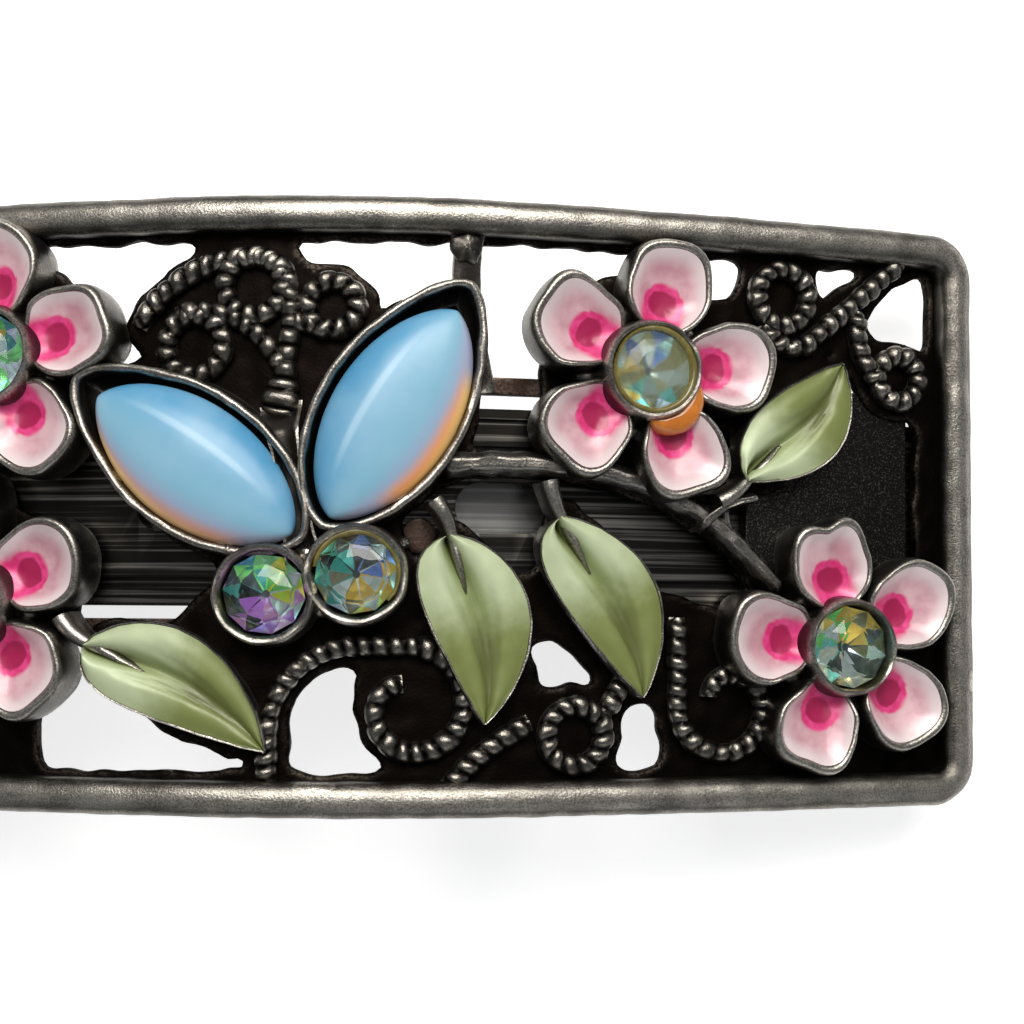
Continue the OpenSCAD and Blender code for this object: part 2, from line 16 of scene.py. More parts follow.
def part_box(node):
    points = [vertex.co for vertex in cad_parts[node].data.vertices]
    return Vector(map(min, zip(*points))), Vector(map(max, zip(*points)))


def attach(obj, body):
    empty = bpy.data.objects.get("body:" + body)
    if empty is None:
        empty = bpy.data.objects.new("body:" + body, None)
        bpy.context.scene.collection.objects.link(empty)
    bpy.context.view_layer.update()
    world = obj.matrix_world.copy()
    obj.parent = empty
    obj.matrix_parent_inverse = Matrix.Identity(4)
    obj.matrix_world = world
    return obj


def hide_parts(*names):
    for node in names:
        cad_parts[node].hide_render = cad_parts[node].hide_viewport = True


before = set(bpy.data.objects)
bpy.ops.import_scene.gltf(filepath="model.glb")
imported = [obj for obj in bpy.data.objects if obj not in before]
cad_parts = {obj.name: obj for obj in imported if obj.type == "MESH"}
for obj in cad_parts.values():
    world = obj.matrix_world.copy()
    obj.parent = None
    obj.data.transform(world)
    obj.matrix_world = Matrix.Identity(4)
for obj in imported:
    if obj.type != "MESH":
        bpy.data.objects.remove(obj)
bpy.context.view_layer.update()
MM = 0.001
# Without a seed, noise_vector draws its offsets from the clock
noise.seed_set(1)

# ---- sizes, the same as the CAD's ----

CROWN_R, FLANK_R, CROWN_Z = 45.0, 190.0, 12.4
CROWN_ANGLE = radians(12.5)
CROWN_S = CROWN_R * CROWN_ANGLE
HALF_LEN, FRONT_W, RIM_W, CORNER_R = 34.8, 31.0, 1.8, 2.2
CHATON_R, EYE_R = 2.15, 2.0
OPAL_LEN, OPAL_W = 12.0, 6.0
BEAD_PITCH, STRAND_W = 0.80, 1.12
UNDERSIDE = -0.8

CIRCLE_STEPS = 40

# ---- the visible ground plate ----

# Heights of its face and its underside, and how far the face falls at its edges
WEB_TOP, WEB_UNDERSIDE, WEB_EDGE_DROP = -0.35, -0.86, 0.1
# The grid that it is cut from, how softly it fills a corner, how far it reaches and how ragged its edges are
WEB_STEP, WEB_SOFT, WEB_REACH, WEB_RAGGED = 0.24, 0.42, 0.34, 0.22
# The disc that fills the eye of a curled strand
CURL_EYE_R = 1.8

# ---- layout: flowers, opals and eyes stand where the frame has them, and the rest repeats the CAD's ----


def flank_centre(side):
    """x and z of the middle of a flank's arc, on the right where side is 1 and on the left where it is -1."""
    x = -(FLANK_R - CROWN_R) * side * sin(CROWN_ANGLE)
    return x, CROWN_Z - CROWN_R - (FLANK_R - CROWN_R) * cos(CROWN_ANGLE)


def unrolled(x, z):
    """The distance s along the arch of a point in millimetres."""
    a = atan2(x, z - (CROWN_Z - CROWN_R))
    if abs(a) <= CROWN_ANGLE:
        return a * CROWN_R
    side = copysign(1, x)
    x0, z0 = flank_centre(side)
    return side * (CROWN_S + (abs(atan2(x - x0, z - z0)) - CROWN_ANGLE) * FLANK_R)


def place_of(*nodes):
    """s and y of the middle of a CAD node, or midway between several."""
    places = []
    for node in nodes:
        low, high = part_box(node)
        x, y, z = ((low[i] + high[i]) / 2 / MM for i in range(3))
        places.append((unrolled(x, z), y))
    return tuple(sum(p[i] for p in places) / len(places) for i in range(2))


FLOWERS = [(*place_of(f"flower_stone_{i + 1}"), turn) for i, turn in enumerate((5, 30, 15, 25))]
WINGS = [(*place_of("opal_left"), -35), (*place_of("opal_right"), 60)]
EYES = [place_of("eye_stone_left"), place_of("eye_stone_right")]

# Leaves: s and y of the base, heading, length, bend, reach and fullest place to the left and to the
# right of the vein, and how far the stalk starts to the left of it
LEAVES = [
    (-12.5, -7, -30, 10.5, -14, (2.9, 0.45), (2.0, 0.25), 0.6),
    (5.5, -1.5, -80, 9.5, -10, (3.0, 0.45), (2.3, 0.25), -0.4),
    (11, -0.5, -65, 10, -8, (2.9, 0.5), (2.2, 0.25), 0.3),
    (21, 1.5, 50, 8.5, 14, (2.3, 0.35), (2.6, 0.55), 0.3),
    (-25, 1, 130, 8.5, 10, (2.3, 0.4), (2.2, 0.4), 0.1),
    (-25, -8, 205, 7.5, 10, (2.1, 0.4), (2.0, 0.4), 0.1),
]

# Bends of a route: a radius and a sweep in degrees, to the left where positive. A radius of 0 runs
# straight for the second number.
TWIG = (5, 2, 5, [(40, -10), (15, -40), (0, 2.5)])
SHOOT = (18.5, -1, 60, [(3, -45), (0, 1.5)])
SPUR = (20, 0.5, -100, [(3, 50)])
SPINE = (-3, 5, -80, [(0, 8.2)])
ROLLED_ARCH = [(0, 2.5), (4.5, -90), (0, 2.5), (2.8, -90), (2.5, -90), (2, -90), (1.4, -90)]
ROLLED_HOOK = [(0, 4.5), (2.5, 90), (2.3, 90), (1.8, 90), (1.2, 90)]

# Scroll groups: strands as s, y, heading and bends, then rings as s, y and radius
SCROLLS = [
    (
        [
            (-10.5, 9, 60, [(7, -60), (1.8, -90), (0, 1.5)]),
            (-2.6, 10.5, -90, [(30, -12)]),
            (-8.5, 9.5, 20, [(4, -60), (6, -25)]),
            (-2.7, 9.5, -45, [(1.6, 60)]),
        ],
        [(-4.5, 11, 1.5), (-7.5, 8, 1.5), (-0.5, 10, 1.25)],
    ),
    (
        [(22.5, 10, -75, [(1.6, 115), (0, 7.5)]), (28, 11, -100, [(4, 60)])],
        [(23.5, 11.5, 1.5), (30.5, 7.5, 1.25)],
    ),
    ([(-3.5, -14, 90, ROLLED_ARCH)], []),
    ([(5.5, -14, 50, [(12, -25)]), (13.5, -10.5, 60, [(0, 2)])], [(12, -11.5, 1.5)]),
    ([(17.5, -5.5, -90, ROLLED_HOOK)], []),
    ([(-24.5, 13.5, -120, [(4, -70), (3, -40)])], [(-28.5, 12, 1.25), (-31, 8.5, 1.25)]),
    ([(-33, -2.5, -70, [(0, 2), (2.5, 90), (2, 90), (1.5, 90)])], [(-26.5, -12.5, 1.5)]),
]
# The butterfly's crest: its group and its strand
TRUNK = (0, 1)

# Pools where the ground fills the space between neighbours: the CAD nodes that each lies midway
# between, and its radius
POOLS = [
    (("scroll_1", "opal_left"), 2.0), (("scroll_1", "opal_right"), 1.6), (("flower_cup_1", "scroll_2"), 2.6),
    (("leaf_cup_2", "scroll_4"), 1.4), (("leaf_cup_2", "leaf_cup_3"), 1.2), (("leaf_cup_3", "scroll_5"), 2.2),
    (("scroll_4",), 1.8), (("leaf_cup_1", "eye_stone_left"), 2.2),
]

# ---- the arch ----


def arch(s, y, h):
    """The place, in metres, of a point at s, y and h."""
    if abs(s) <= CROWN_S:
        a, r, x0, z0 = s / CROWN_R, CROWN_R, 0.0, CROWN_Z - CROWN_R
    else:
        side = copysign(1, s)
        a, r = side * (CROWN_ANGLE + (abs(s) - CROWN_S) / FLANK_R), FLANK_R
        x0, z0 = flank_centre(side)
    return Vector((x0 + (r + h) * sin(a), y, z0 + (r + h) * cos(a))) * MM


# ---- curves in the plane ----


def smoothstep(a, b, x):
    """0 up to a, 1 from b on, and an even rise between. It falls where b is less than a."""
    t = min(1.0, max(0.0, (x - a) / (b - a)))
    return t * t * (3 - 2 * t)


def bends(s, y, heading, stretches, step=0.25):
    """Points of a route that starts at s, y with a heading and follows its bends in turn."""
    p, out = Vector((s, y)), []
    for radius, sweep in stretches:
        h = radians(heading)
        length = radius * radians(abs(sweep)) if radius else sweep
        n = ceil(length / step)
        for k in range(n + 1):
            if radius:
                a, side = h + radians(sweep) * k / n, copysign(radius, sweep)
                q = p + side * Vector((sin(a) - sin(h), cos(h) - cos(a)))
            else:
                q = p + Vector((cos(h), sin(h))) * sweep * k / n
            if k < n:
                out.append(q)
        p = q
        heading += sweep if radius else 0
    return out + [p]


def hump(t, place, power=0.75):
    """A smooth swell from 0 to 1 and back as t goes from 0 to 1, fullest at the place."""
    return sin(pi * min(1.0, max(0.0, t)) ** (log(0.5) / log(place))) ** power


def resample(points, step, closed=False):
    """Points at equal distances along a route, with their sideways direction and distance from the start."""
    p = list(points) + ([points[0]] if closed else [])
    ends = [0.0]
    for a, b in zip(p, p[1:]):
        ends.append(ends[-1] + (b - a).length)
    n = max(2, round(ends[-1] / step))
    places = []
    for k in range(n if closed else n + 1):
        d = ends[-1] * k / n
        i = min(bisect_right(ends, d) - 1, len(p) - 2)
        places.append((p[i].lerp(p[i + 1], (d - ends[i]) / max(1e-9, ends[i + 1] - ends[i])), d))
    out = []
    for k, (q, d) in enumerate(places):
        before = places[k - 1][0] if (closed or k) else q
        after = places[(k + 1) % len(places)][0] if (closed or k + 1 < len(places)) else q
        t = (after - before).normalized()
        out.append((q, Vector((-t.y, t.x)), d))
    return out, ends[-1]


def polar(x, y, r, angle):
    """The point at a distance r from x, y, in the direction of an angle in radians."""
    return x + r * cos(angle), y + r * sin(angle)


def round_angles(n):
    """n equal steps round a circle, in radians."""
    return [2 * pi * k / n for k in range(n)]


def half_turn(n):
    """n equal steps over half a turn, in radians, with both ends."""
    return [pi * k / n for k in range(n + 1)]


def circle_route(x, y, r, start):
    """Points round a circle, from a start angle in radians."""
    return [Vector(polar(x, y, r, start + angle)) for angle in round_angles(CIRCLE_STEPS)]


def turned(x, y, degrees):
    """A function that carries a piece's own coordinates to s and y."""
    c, k = cos(radians(degrees)), sin(radians(degrees))
    return lambda u, v: (x + u * c - v * k, y + u * k + v * c)


# ---- meshes ----


class Shell:
    """The points, faces and per-point numbers of one piece."""

    def __init__(self):
        self.points, self.marks, self.faces, self.kinds, self.tints = [], [], [], [], []

    def ring(self, points, marks=None):
        start = len(self.points)
        self.points += points
        self.marks += marks or [(0.0, 0.0)] * len(points)
        return list(range(start, len(self.points)))

    def face(self, corners, kind=0, tint=(1, 1, 1)):
        self.faces.append(tuple(corners))
        self.kinds.append(kind)
        self.tints.append(tint)

    def loft(self, rings, loop=False):
        """Skins rings of equal length, round a loop or with a fan over each end."""
        for a, b in zip(rings, rings[1:] + (rings[:1] if loop else [])):
            for i in range(len(a)):
                j = (i + 1) % len(a)
                self.face((a[i], a[j], b[j], b[i]))
        for end in () if loop else (rings[0], rings[-1]):
            n = len(end)
            middle = tuple(sum(self.points[i][k] for i in end) / n for k in range(3))
            mark = tuple(sum(self.marks[i][k] for i in end) / n for k in range(2))
            hub = self.ring([middle], [mark])[0]
            for i in range(n):
                self.face((end[i], end[(i + 1) % n], hub))


def add_object(name, data):
    """Puts data into the scene as an object."""
    obj = bpy.data.objects.new(name, data)
    bpy.context.scene.collection.objects.link(obj)
    return obj


def finish_mesh(mesh, marks, sharp):
    """Stores the marks that the materials read, and shades smooth across edges under the sharp angle."""
    mark = mesh.attributes.get("mark") or mesh.attributes.new("mark", "FLOAT_VECTOR", "POINT")
    mark.data.foreach_set("vector", [x for triple in marks for x in triple])
    mesh.shade_smooth()
    mesh.set_sharp_from_angle(angle=radians(sharp))


def piece(name, shell, materials, nodes, uneven=0.0, grain=1.1, sharp=48):
    """Makes a shell into a Blender object that stands for the CAD nodes named.

    Its surface is pushed about by up to uneven mm, in waves about grain mm long.
    """
    co = [arch(*p) for p in shell.points]
    if uneven:
        co = [c + noise.noise_vector(c / (MM * grain)) * uneven * MM for c in co]
    mesh = bpy.data.meshes.new(name)
    mesh.from_pydata(co, [], shell.faces)
    for m in materials:
        mesh.materials.append(m)
    mesh.polygons.foreach_set("material_index", shell.kinds)
    tint = mesh.attributes.new("tint", "FLOAT_COLOR", "CORNER")
    tint.data.foreach_set("color", [x for f, t in zip(shell.faces, shell.tints) for x in (*t, 1.0) * len(f)])
    b = bmesh.new()
    b.from_mesh(mesh)
    bmesh.ops.recalc_face_normals(b, faces=b.faces)
    b.to_mesh(mesh)
    b.free()
    finish_mesh(mesh, [(p[2], *m) for p, m in zip(shell.points, shell.marks)], sharp)
    obj = add_object(name, mesh)
    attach(obj, "front")
    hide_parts(*nodes)


def lathe(shell, x, y, profile, steps=64, wobble=0.0, rng=None):
    """Turns a profile of r and h round x, y. The wobble makes the edge slightly hand-worked."""
    phases = [(rng.uniform(0, 6.28), rng.choice((3, 5, 7, 9))) for _ in range(3)] if wobble else []
    swaying_from = 0.9
    rings = []
    for a in round_angles(steps):
        sway = wobble * sum(sin(m * a + p) for p, m in phases)
        rings.append(shell.ring([
            (*polar(x, y, r + sway * 0.5, a), h + (sway if h > swaying_from else 0)) for r, h in profile
        ]))
    shell.loft(rings, loop=True)


# ---- node materials ----


class Nodes:
    """Short calls for building a material's nodes."""

    def __init__(self, name):
        self.material = bpy.data.materials.new(name)
        self.material.use_nodes = True
        self.tree = self.material.node_tree
        self.shader = self.tree.nodes["Principled BSDF"]

    def add(self, kind, **settings):
        node = self.tree.nodes.new("ShaderNode" + kind)
        for key, value in settings.items():
            setattr(node, key, value)
        return node

    def put(self, value, socket):
        """Links a socket, or sets a colour or a number."""
        if isinstance(value, bpy.types.NodeSocket):
            self.tree.links.new(value, socket)
        elif isinstance(value, tuple) and len(value) == 3 and socket.type == "RGBA":
            socket.default_value = (*value, 1.0)
        else:
            socket.default_value = value

    def where(self):
        """Object coordinates, in millimetres."""
        scale = self.add("VectorMath", operation="SCALE")
        self.put(self.add("TexCoord").outputs["Object"], scale.inputs[0])
        scale.inputs["Scale"].default_value = 1000.0
        return scale.outputs[0]

    def noise(self, size, detail=3.0, rough=0.55, stretch=None):
        """Noise whose features are about size mm across."""
        node = self.add("TexNoise")
        vector = self.where()
        if stretch:
            m = self.add("Mapping")
            self.put(vector, m.inputs["Vector"])
            m.inputs["Scale"].default_value = stretch
            vector = m.outputs[0]
        self.put(vector, node.inputs["Vector"])
        node.inputs["Scale"].default_value = 1.0 / size
        node.inputs["Detail"].default_value = detail
        node.inputs["Roughness"].default_value = rough
        return node.outputs["Fac"]

    def mark(self):
        """The height above the arch and the piece's own two numbers, stored on its points."""
        split = self.add("SeparateXYZ")
        self.put(self.add("Attribute", attribute_name="mark").outputs["Vector"], split.inputs[0])
        return split.outputs

    def math(self, operation, a, b=0.0, clamp=False):
        node = self.add("Math", operation=operation, use_clamp=clamp)
        self.put(a, node.inputs[0])
        self.put(b, node.inputs[1])
        return node.outputs[0]

    def plus(self, a, b):
        return self.math("ADD", a, b)

    def times(self, a, b, clamp=False):
        return self.math("MULTIPLY", a, b, clamp)

    def drift(self, value, cloud, amount):
        """A value pushed up and down by a noise."""
        return self.plus(value, self.times(self.math("SUBTRACT", cloud, 0.5), amount))

    def span(self, value, a, b, to_a=0.0, to_b=1.0):
        """Maps a..b to to_a..to_b, smoothly and clamped."""
        node = self.add("MapRange", interpolation_type="SMOOTHSTEP")
        self.put(value, node.inputs["Value"])
        for key, number in (("From Min", a), ("From Max", b), ("To Min", to_a), ("To Max", to_b)):
            node.inputs[key].default_value = number
        return node.outputs["Result"]

    def mix(self, factor, a, b):
        node = self.add("Mix", data_type="RGBA")
        self.put(factor, node.inputs[0])
        self.put(a, node.inputs[6])
        self.put(b, node.inputs[7])
        return node.outputs[2]

    def bump(self, height, strength, distance):
        node = self.add("Bump")
        self.put(height, node.inputs["Height"])
        node.inputs["Strength"].default_value = strength
        node.inputs["Distance"].default_value = distance * MM
        self.put(node.outputs[0], self.shader.inputs["Normal"])

    def set(self, **inputs):
        for key, value in inputs.items():
            self.put(value, self.shader.inputs[key.replace("_", " ")])
        return self.material


def srgb(r, g, b):
    """A colour given as it looks on screen, from 0 to 255."""
    return tuple(((c / 255 + 0.055) / 1.055) ** 2.4 if c > 10 else c / 3294.6 for c in (r, g, b))


def cast_metal(name, low, high, worn, grit=0.12, wear=0.5, cavity=(-0.7, 0.7), rough=(0.62, 0.34)):
    """Antiqued casting: black in the hollows, gunmetal on the faces, rubbed bright on the crests."""
    n = Nodes(name)
    height, polish, _ = n.mark()
    point = n.add("NewGeometry").outputs["Pointiness"]
    blotch = n.noise(1.6, 4.0)
    fine = n.noise(grit, 2.0, 0.6)
    raised = n.times(n.span(height, *cavity), n.span(point, 0.46, 0.515))
    base = n.mix(raised, low, high)
    patchy = n.times(n.span(blotch, 0.35, 0.62), n.span(fine, 0.3, 0.62))
    rubbed = n.times(n.span(point, 0.505, 0.56), n.plus(n.times(patchy, 0.75), wear - 0.25), clamp=True)
    speckled = n.times(polish, n.span(n.plus(fine, n.times(blotch, 0.5)), 0.5, 0.95, 0.35, 1.0))
    rubbed = n.math("MAXIMUM", rubbed, speckled)
    n.bump(n.plus(fine, n.times(n.noise(0.4, 3.0), 0.6)), 0.55, 0.035)
    return n.set(
        Base_Color=n.mix(rubbed, base, worn),
        Metallic=n.span(raised, 0.0, 0.5, 0.93, 1.0),
        Roughness=n.span(n.plus(raised, rubbed), 0.0, 1.2, *rough),
    )


# Colours in the hollows, on the faces and on the rubbed crests, then what differs from a plain casting
CAST = cast_metal("antique_casting", (0.006, 0.005, 0.004), (0.075, 0.068, 0.060), (0.50, 0.47, 0.42))
CAST_SCROLL = cast_metal(
    "antique_scroll", (0.005, 0.004, 0.003), (0.060, 0.054, 0.047), (0.34, 0.315, 0.275),
    grit=0.09, wear=0.6, cavity=(-0.1, 0.42), rough=(0.55, 0.30),
)
CAST_RIM = cast_metal(
    "antique_rim", (0.006, 0.005, 0.004), (0.055, 0.050, 0.043), (0.62, 0.58, 0.51),
    grit=0.10, wear=0.45, cavity=(-0.9, 0.55), rough=(0.58, 0.36),
)
CAST_BROWN = cast_metal(
    "casting_back", (0.020, 0.012, 0.009), (0.060, 0.040, 0.032), (0.20, 0.155, 0.125),
    grit=0.16, wear=0.2, cavity=(-2.2, -0.9), rough=(0.60, 0.42),
)
# The ground is near-black all over: black patina in the hollows, darkened further as painted shade between
# the ornaments
GROUND_PATINA_AND_SHADE = cast_metal(
    "ground_patina_and_shade", (0.002, 0.0015, 0.001), (0.008, 0.006, 0.005), (0.07, 0.058, 0.048),
    grit=0.15, wear=0.15, cavity=(-1.2, -0.2), rough=(0.66, 0.48),
)


def sanded_metal():
    """The pads' sandblasted face: an even dark grey with bright specks."""
    n = Nodes("sanded_pad")
    speck = n.noise(0.10, 2.0, 0.7)
    colour = n.mix(n.span(speck, 0.52, 0.72), (0.016, 0.015, 0.014), (0.15, 0.142, 0.13))
    n.bump(speck, 0.8, 0.04)
    return n.set(Base_Color=colour, Metallic=1.0, Roughness=n.span(speck, 0.3, 0.7, 0.5, 0.36))


def plated_steel(name, base, bright, rough):
    """Plated sheet steel with drawn lines along the clasp."""
    n = Nodes(name)
    lines = n.noise(0.22, 2.0, 0.5, stretch=(0.008, 1.0, 0.02))
    smudge = n.noise(3.5, 4.0)
    colour = n.mix(n.times(n.span(lines, 0.48, 0.72), 0.55), base, bright)
    n.bump(lines, 0.12, 0.02)
    return n.set(Base_Color=colour, Metallic=1.0, Roughness=n.span(smudge, 0.35, 0.7, rough, rough + 0.14))


def petal_enamel():
    """Pearly pink enamel: crimson pooled at the throat, blush to white towards the lip."""
    n = Nodes("petal_enamel")
    _, throat, edge = n.mark()
    cloud = n.noise(1.5, 3.0)
    drift = n.drift(throat, n.noise(0.8, 2.0), 0.10)
    blush = n.mix(n.span(cloud, 0.3, 0.7), srgb(196, 142, 154), srgb(220, 182, 188))
    pearl = n.mix(n.span(edge, 0.55, 0.87), blush, srgb(226, 212, 212))
    hot = n.mix(n.span(n.noise(0.5, 2.0), 0.35, 0.65), srgb(226, 70, 136), srgb(212, 44, 112))
    pink = n.mix(n.span(drift, 0.80, 1.0), hot, pearl)
    colour = n.mix(n.span(drift, 0.42, 0.56), srgb(166, 22, 78), pink)
    n.bump(n.noise(0.6, 2.0), 0.12, 0.04)
    rough = n.span(cloud, 0.3, 0.7, 0.34, 0.46)
    return n.set(Base_Color=colour, Roughness=rough, Metallic=0.08, Coat_Weight=0.45, Coat_Roughness=0.14)


def leaf_enamel():
    """Pearly green enamel, pale on the raised lobes and olive at the tip; the olive in the folds and low
    places is painted shade.
    """
    n = Nodes("leaf_enamel")
    height, along, _ = n.mark()
    streak = n.noise(1.1, 3.0, 0.6)
    # Painted shade by height: the folds take darker colours than the raised lobes, and the lowest parts fall
    # to deep olive
    painted_fold_shade = n.span(height, 0.78, 1.28)
    depth = n.drift(n.span(along, 0.80, 0.12), streak, 0.35)
    base = n.mix(n.span(depth, 0.1, 0.85), srgb(86, 92, 42), srgb(144, 158, 104))
    lobe = n.mix(n.span(depth, 0.2, 0.9), srgb(124, 134, 74), srgb(188, 200, 162))
    colour = n.mix(painted_fold_shade, base, lobe)
    colour = n.mix(n.span(height, 0.45, 0.85), srgb(84, 92, 46), colour)
    n.bump(n.noise(0.5, 3.0), 0.15, 0.04)
    rough = n.span(streak, 0.3, 0.7, 0.40, 0.54)
    return n.set(Base_Color=colour, Roughness=rough, Metallic=0.12, Coat_Weight=0.25, Coat_Roughness=0.2)


def opal_glass(name, glow_colour, glow_from, glow_to):
    """Milky blue opal glass. The ember-coloured lower edge is a painted glow standing in for light shining
    through the stone, and a pale streak along the upper third is a painted highlight.
    """
    n = Nodes(name)
    _, along, across = n.mark()
    cloud = n.noise(3.0, 3.0)
    blue = n.mix(n.span(across, -0.3, 1.0), srgb(130, 182, 206), srgb(80, 150, 192))
    blue = n.mix(n.times(n.span(cloud, 0.35, 0.7), 0.35), blue, srgb(150, 190, 214))
    lilac = n.mix(n.span(across, -0.35, -0.85), blue, srgb(168, 176, 204))
    # Painted glow: ember colour along the lower edge, with a pale yellow core, standing in for light shining
    # through the stone
    reach = n.times(n.span(along, glow_from, glow_from + 0.16), n.span(along, glow_to + 0.14, glow_to))
    painted_glow = n.times(n.span(n.drift(across, cloud, 0.12), -0.62, -0.92), reach)
    glow_core = n.span(n.plus(across, n.times(along, -0.25)), -0.92, -1.12)
    colour = n.mix(painted_glow, lilac, n.mix(glow_core, glow_colour, srgb(240, 206, 130)))
    # Painted highlight: a pale streak along the upper third, standing in for a reflection of the lights
    off_streak = n.math("ABSOLUTE", n.math("SUBTRACT", across, 0.42))
    streak_length = n.times(n.span(along, 0.12, 0.35), n.span(along, 0.92, 0.6))
    painted_streak = n.times(n.span(off_streak, 0.10, 0.02), streak_length)
    colour = n.mix(n.times(painted_streak, 0.45), colour, srgb(190, 222, 240))
    # The painted glow also gives off a faint emission, though the stone is no lamp
    n.set(Emission_Color=n.mix(painted_glow, (0.0, 0.0, 0.0), glow_colour), Emission_Strength=0.12)
    n.set(Subsurface_Weight=0.12, Subsurface_Scale=0.0012)
    return n.set(Base_Color=colour, Roughness=0.36, Coat_Weight=0.14, Coat_Roughness=0.24)


def stone_glass(name, tint, rough):
    """Clear or clouded glass for the stones' crowns."""
    return Nodes(name).set(Base_Color=tint, Roughness=rough, IOR=1.53, Transmission_Weight=1.0)


def stone_foil():
    """The foiled back of a rhinestone, each facet with its own colour: iridescent tints mixed with painted
    reflections and glints, and a faint emission as a painted glow.
    """
    n = Nodes("stone_foil")
    tint = n.add("Attribute", attribute_name="tint").outputs["Color"]
    # Painted glints: the facet colours drift towards a pale sheen in patches, and a faint emission makes them
    # glow
    tint_and_glint = n.mix(n.span(n.noise(0.5, 2.0), 0.35, 0.7), tint, n.mix(0.12, tint, (0.8, 0.85, 0.9)))
    n.set(Emission_Color=tint_and_glint, Emission_Strength=0.16)
    return n.set(Base_Color=tint_and_glint, Metallic=0.85, Roughness=0.16)


def amber_glue():
    """Aged glue: olive where it is thin, amber where the warm mark is 1."""
    n = Nodes("aged_glue")
    _, warm, _ = n.mark()
    cloud = n.noise(0.7, 2.0)
    olive = n.mix(cloud, srgb(70, 62, 26), srgb(136, 126, 66))
    amber = n.mix(cloud, srgb(170, 92, 22), srgb(224, 138, 50))
    n.set(Subsurface_Weight=0.2, Subsurface_Scale=0.0008, Coat_Weight=0.6)
    return n.set(Base_Color=n.mix(warm, olive, amber), Roughness=n.span(cloud, 0.3, 0.7, 0.12, 0.3))


SANDED = sanded_metal()
CLASP = plated_steel("clasp_steel", (0.022, 0.020, 0.018), (0.40, 0.38, 0.35), 0.30)
SPRING = plated_steel("spring_steel", (0.26, 0.255, 0.245), (0.52, 0.51, 0.49), 0.26)
PETAL = petal_enamel()
LEAF = leaf_enamel()
OPALS = [
    opal_glass("opal_left", srgb(206, 150, 124), 0.10, 0.86),
    opal_glass("opal_right", srgb(238, 156, 88), 0.10, 0.70),
]
GLASS = stone_glass("rhinestone", (0.96, 0.98, 0.97), 0.02)
FOIL_AND_GLINTS = stone_foil()
CLOUDED = stone_glass("rhinestone_clouded", (0.95, 0.96, 0.86), 0.30)
GLUE = amber_glue()

# ---- the casting: rim, scrolls, twig ----


def sweep(shell, path, section, closed=False, polish=lambda h: 0.0):
    """Runs a section of offsets c and heights h, which may change with distance, along a resampled path.

    The polish is how far the metal is rubbed bright at a height.
    """
    rings = []
    for point, side, d in path:
        outline = section(d)
        points = [(*(point + side * c), h) for c, h in outline]
        rings.append(shell.ring(points, [(polish(h), 0.0) for _, h in outline]))
    shell.loft(rings, loop=closed)


def rim():
    """One cast frame: a rounded bar with an upright inner wall, slightly uneven along its crest."""
    w, low, skirt = RIM_W / 2, -1.2, 0.28
    r = CORNER_R - w + 0.25
    centre_s, centre_y = HALF_LEN - w - r, FRONT_W / 2 - w - r
    route = []
    for quarter, (x, y) in enumerate(((1, 1), (-1, 1), (-1, -1), (1, -1))):
        for k in range(7):
            angle = radians(90 * quarter + 15 * k)
            route.append(Vector(polar(x * centre_s, y * centre_y, r, angle)))
    path, _ = resample(route, 0.3, closed=True)

    def section(d):
        crest = 1.0 + 0.05 * noise.noise(Vector((d * 0.35, 0, 0)))
        out = [(-w, low), (-w, -0.75), (-w, -0.3), (-w, 0.1)]
        for a in half_turn(12):
            c = -w * cos(a) * (1 - 0.02 * sin(2 * a))
            out.append((c, skirt + (crest - skirt) * sin(a) ** 0.85))
        wall = [(w, 0.1), (w * 0.985, -0.35), (w * 0.96, -0.8), (w * 0.93, low)]
        return out + wall + [(w * 0.4, low), (-w * 0.4, low)]

    shell = Shell()
    sweep(shell, path, section, closed=True, polish=lambda h: 0.95 * smoothstep(0.84, 1.0, h))
    nodes = ["rim_upper_rail", "rim_lower_rail", "rim_right_end", "rim_left_end"]
    piece("rim", shell, [CAST_RIM], nodes, uneven=0.045)


def rope(shell, route, rng, closed=False, width=lambda d, total: STRAND_W, lean=None):
    """A strand of rounded beads, longer across than along, on a narrow upright wall.

    The beads start before the route and end after it, so that its ends cut through one.
    """
    path, total = resample(route, 0.11, closed)
    bead_top, foot, wall_top, wall_low, steps = 0.56, -0.02, -0.12, -0.6, 10
    before, after = 0.9, 1.5
    if closed:
        count = max(3, round(total / BEAD_PITCH))
        ends = [total * k / count for k in range(-2, count + 3)]
    else:
        ends = [-before, -before + BEAD_PITCH * 0.5]
        while ends[-1] < total + after:
            ends.append(ends[-1] + BEAD_PITCH * rng.uniform(0.82, 1.2))
    grow = [rng.uniform(0.88, 1.06) for _ in ends]
    if closed:
        grow[-5:] = grow[:5]
    tilt = rng.choice((-1, 1)) * rng.uniform(0.1, 0.35) if lean is None else lean
    rings = []
    for point, side, d in path:
        half = width(d, total) / 2
        fade = 1.0 if closed else min(1.0, 0.45 + 1.4 * d, 0.45 + 1.4 * (total - d))
        ring = []
        for a in half_turn(steps):
            c, up = cos(a), sin(a)
            along = d + tilt * c * half
            i = min(max(bisect_right(ends, along) - 1, 0), len(ends) - 2)
            f = min(1.0, max(0.0, (along - ends[i]) / (ends[i + 1] - ends[i])))
            swell = sin(pi * f) ** 0.55
            out = half * grow[i] * (0.80 + 0.20 * swell) * fade
            rise = (bead_top * grow[i] - foot) * (0.44 + 0.56 * swell) * up ** 0.9 * fade
            ring.append((*(point + side * c * out), foot + rise))
        left, right = point - side * (0.8 * half), point + side * (0.8 * half)
        ring += [(*left, wall_top), (*left, wall_low), (*right, wall_low), (*right, wall_top)]
        rings.append(shell.ring(ring))
    shell.loft(rings, loop=closed)


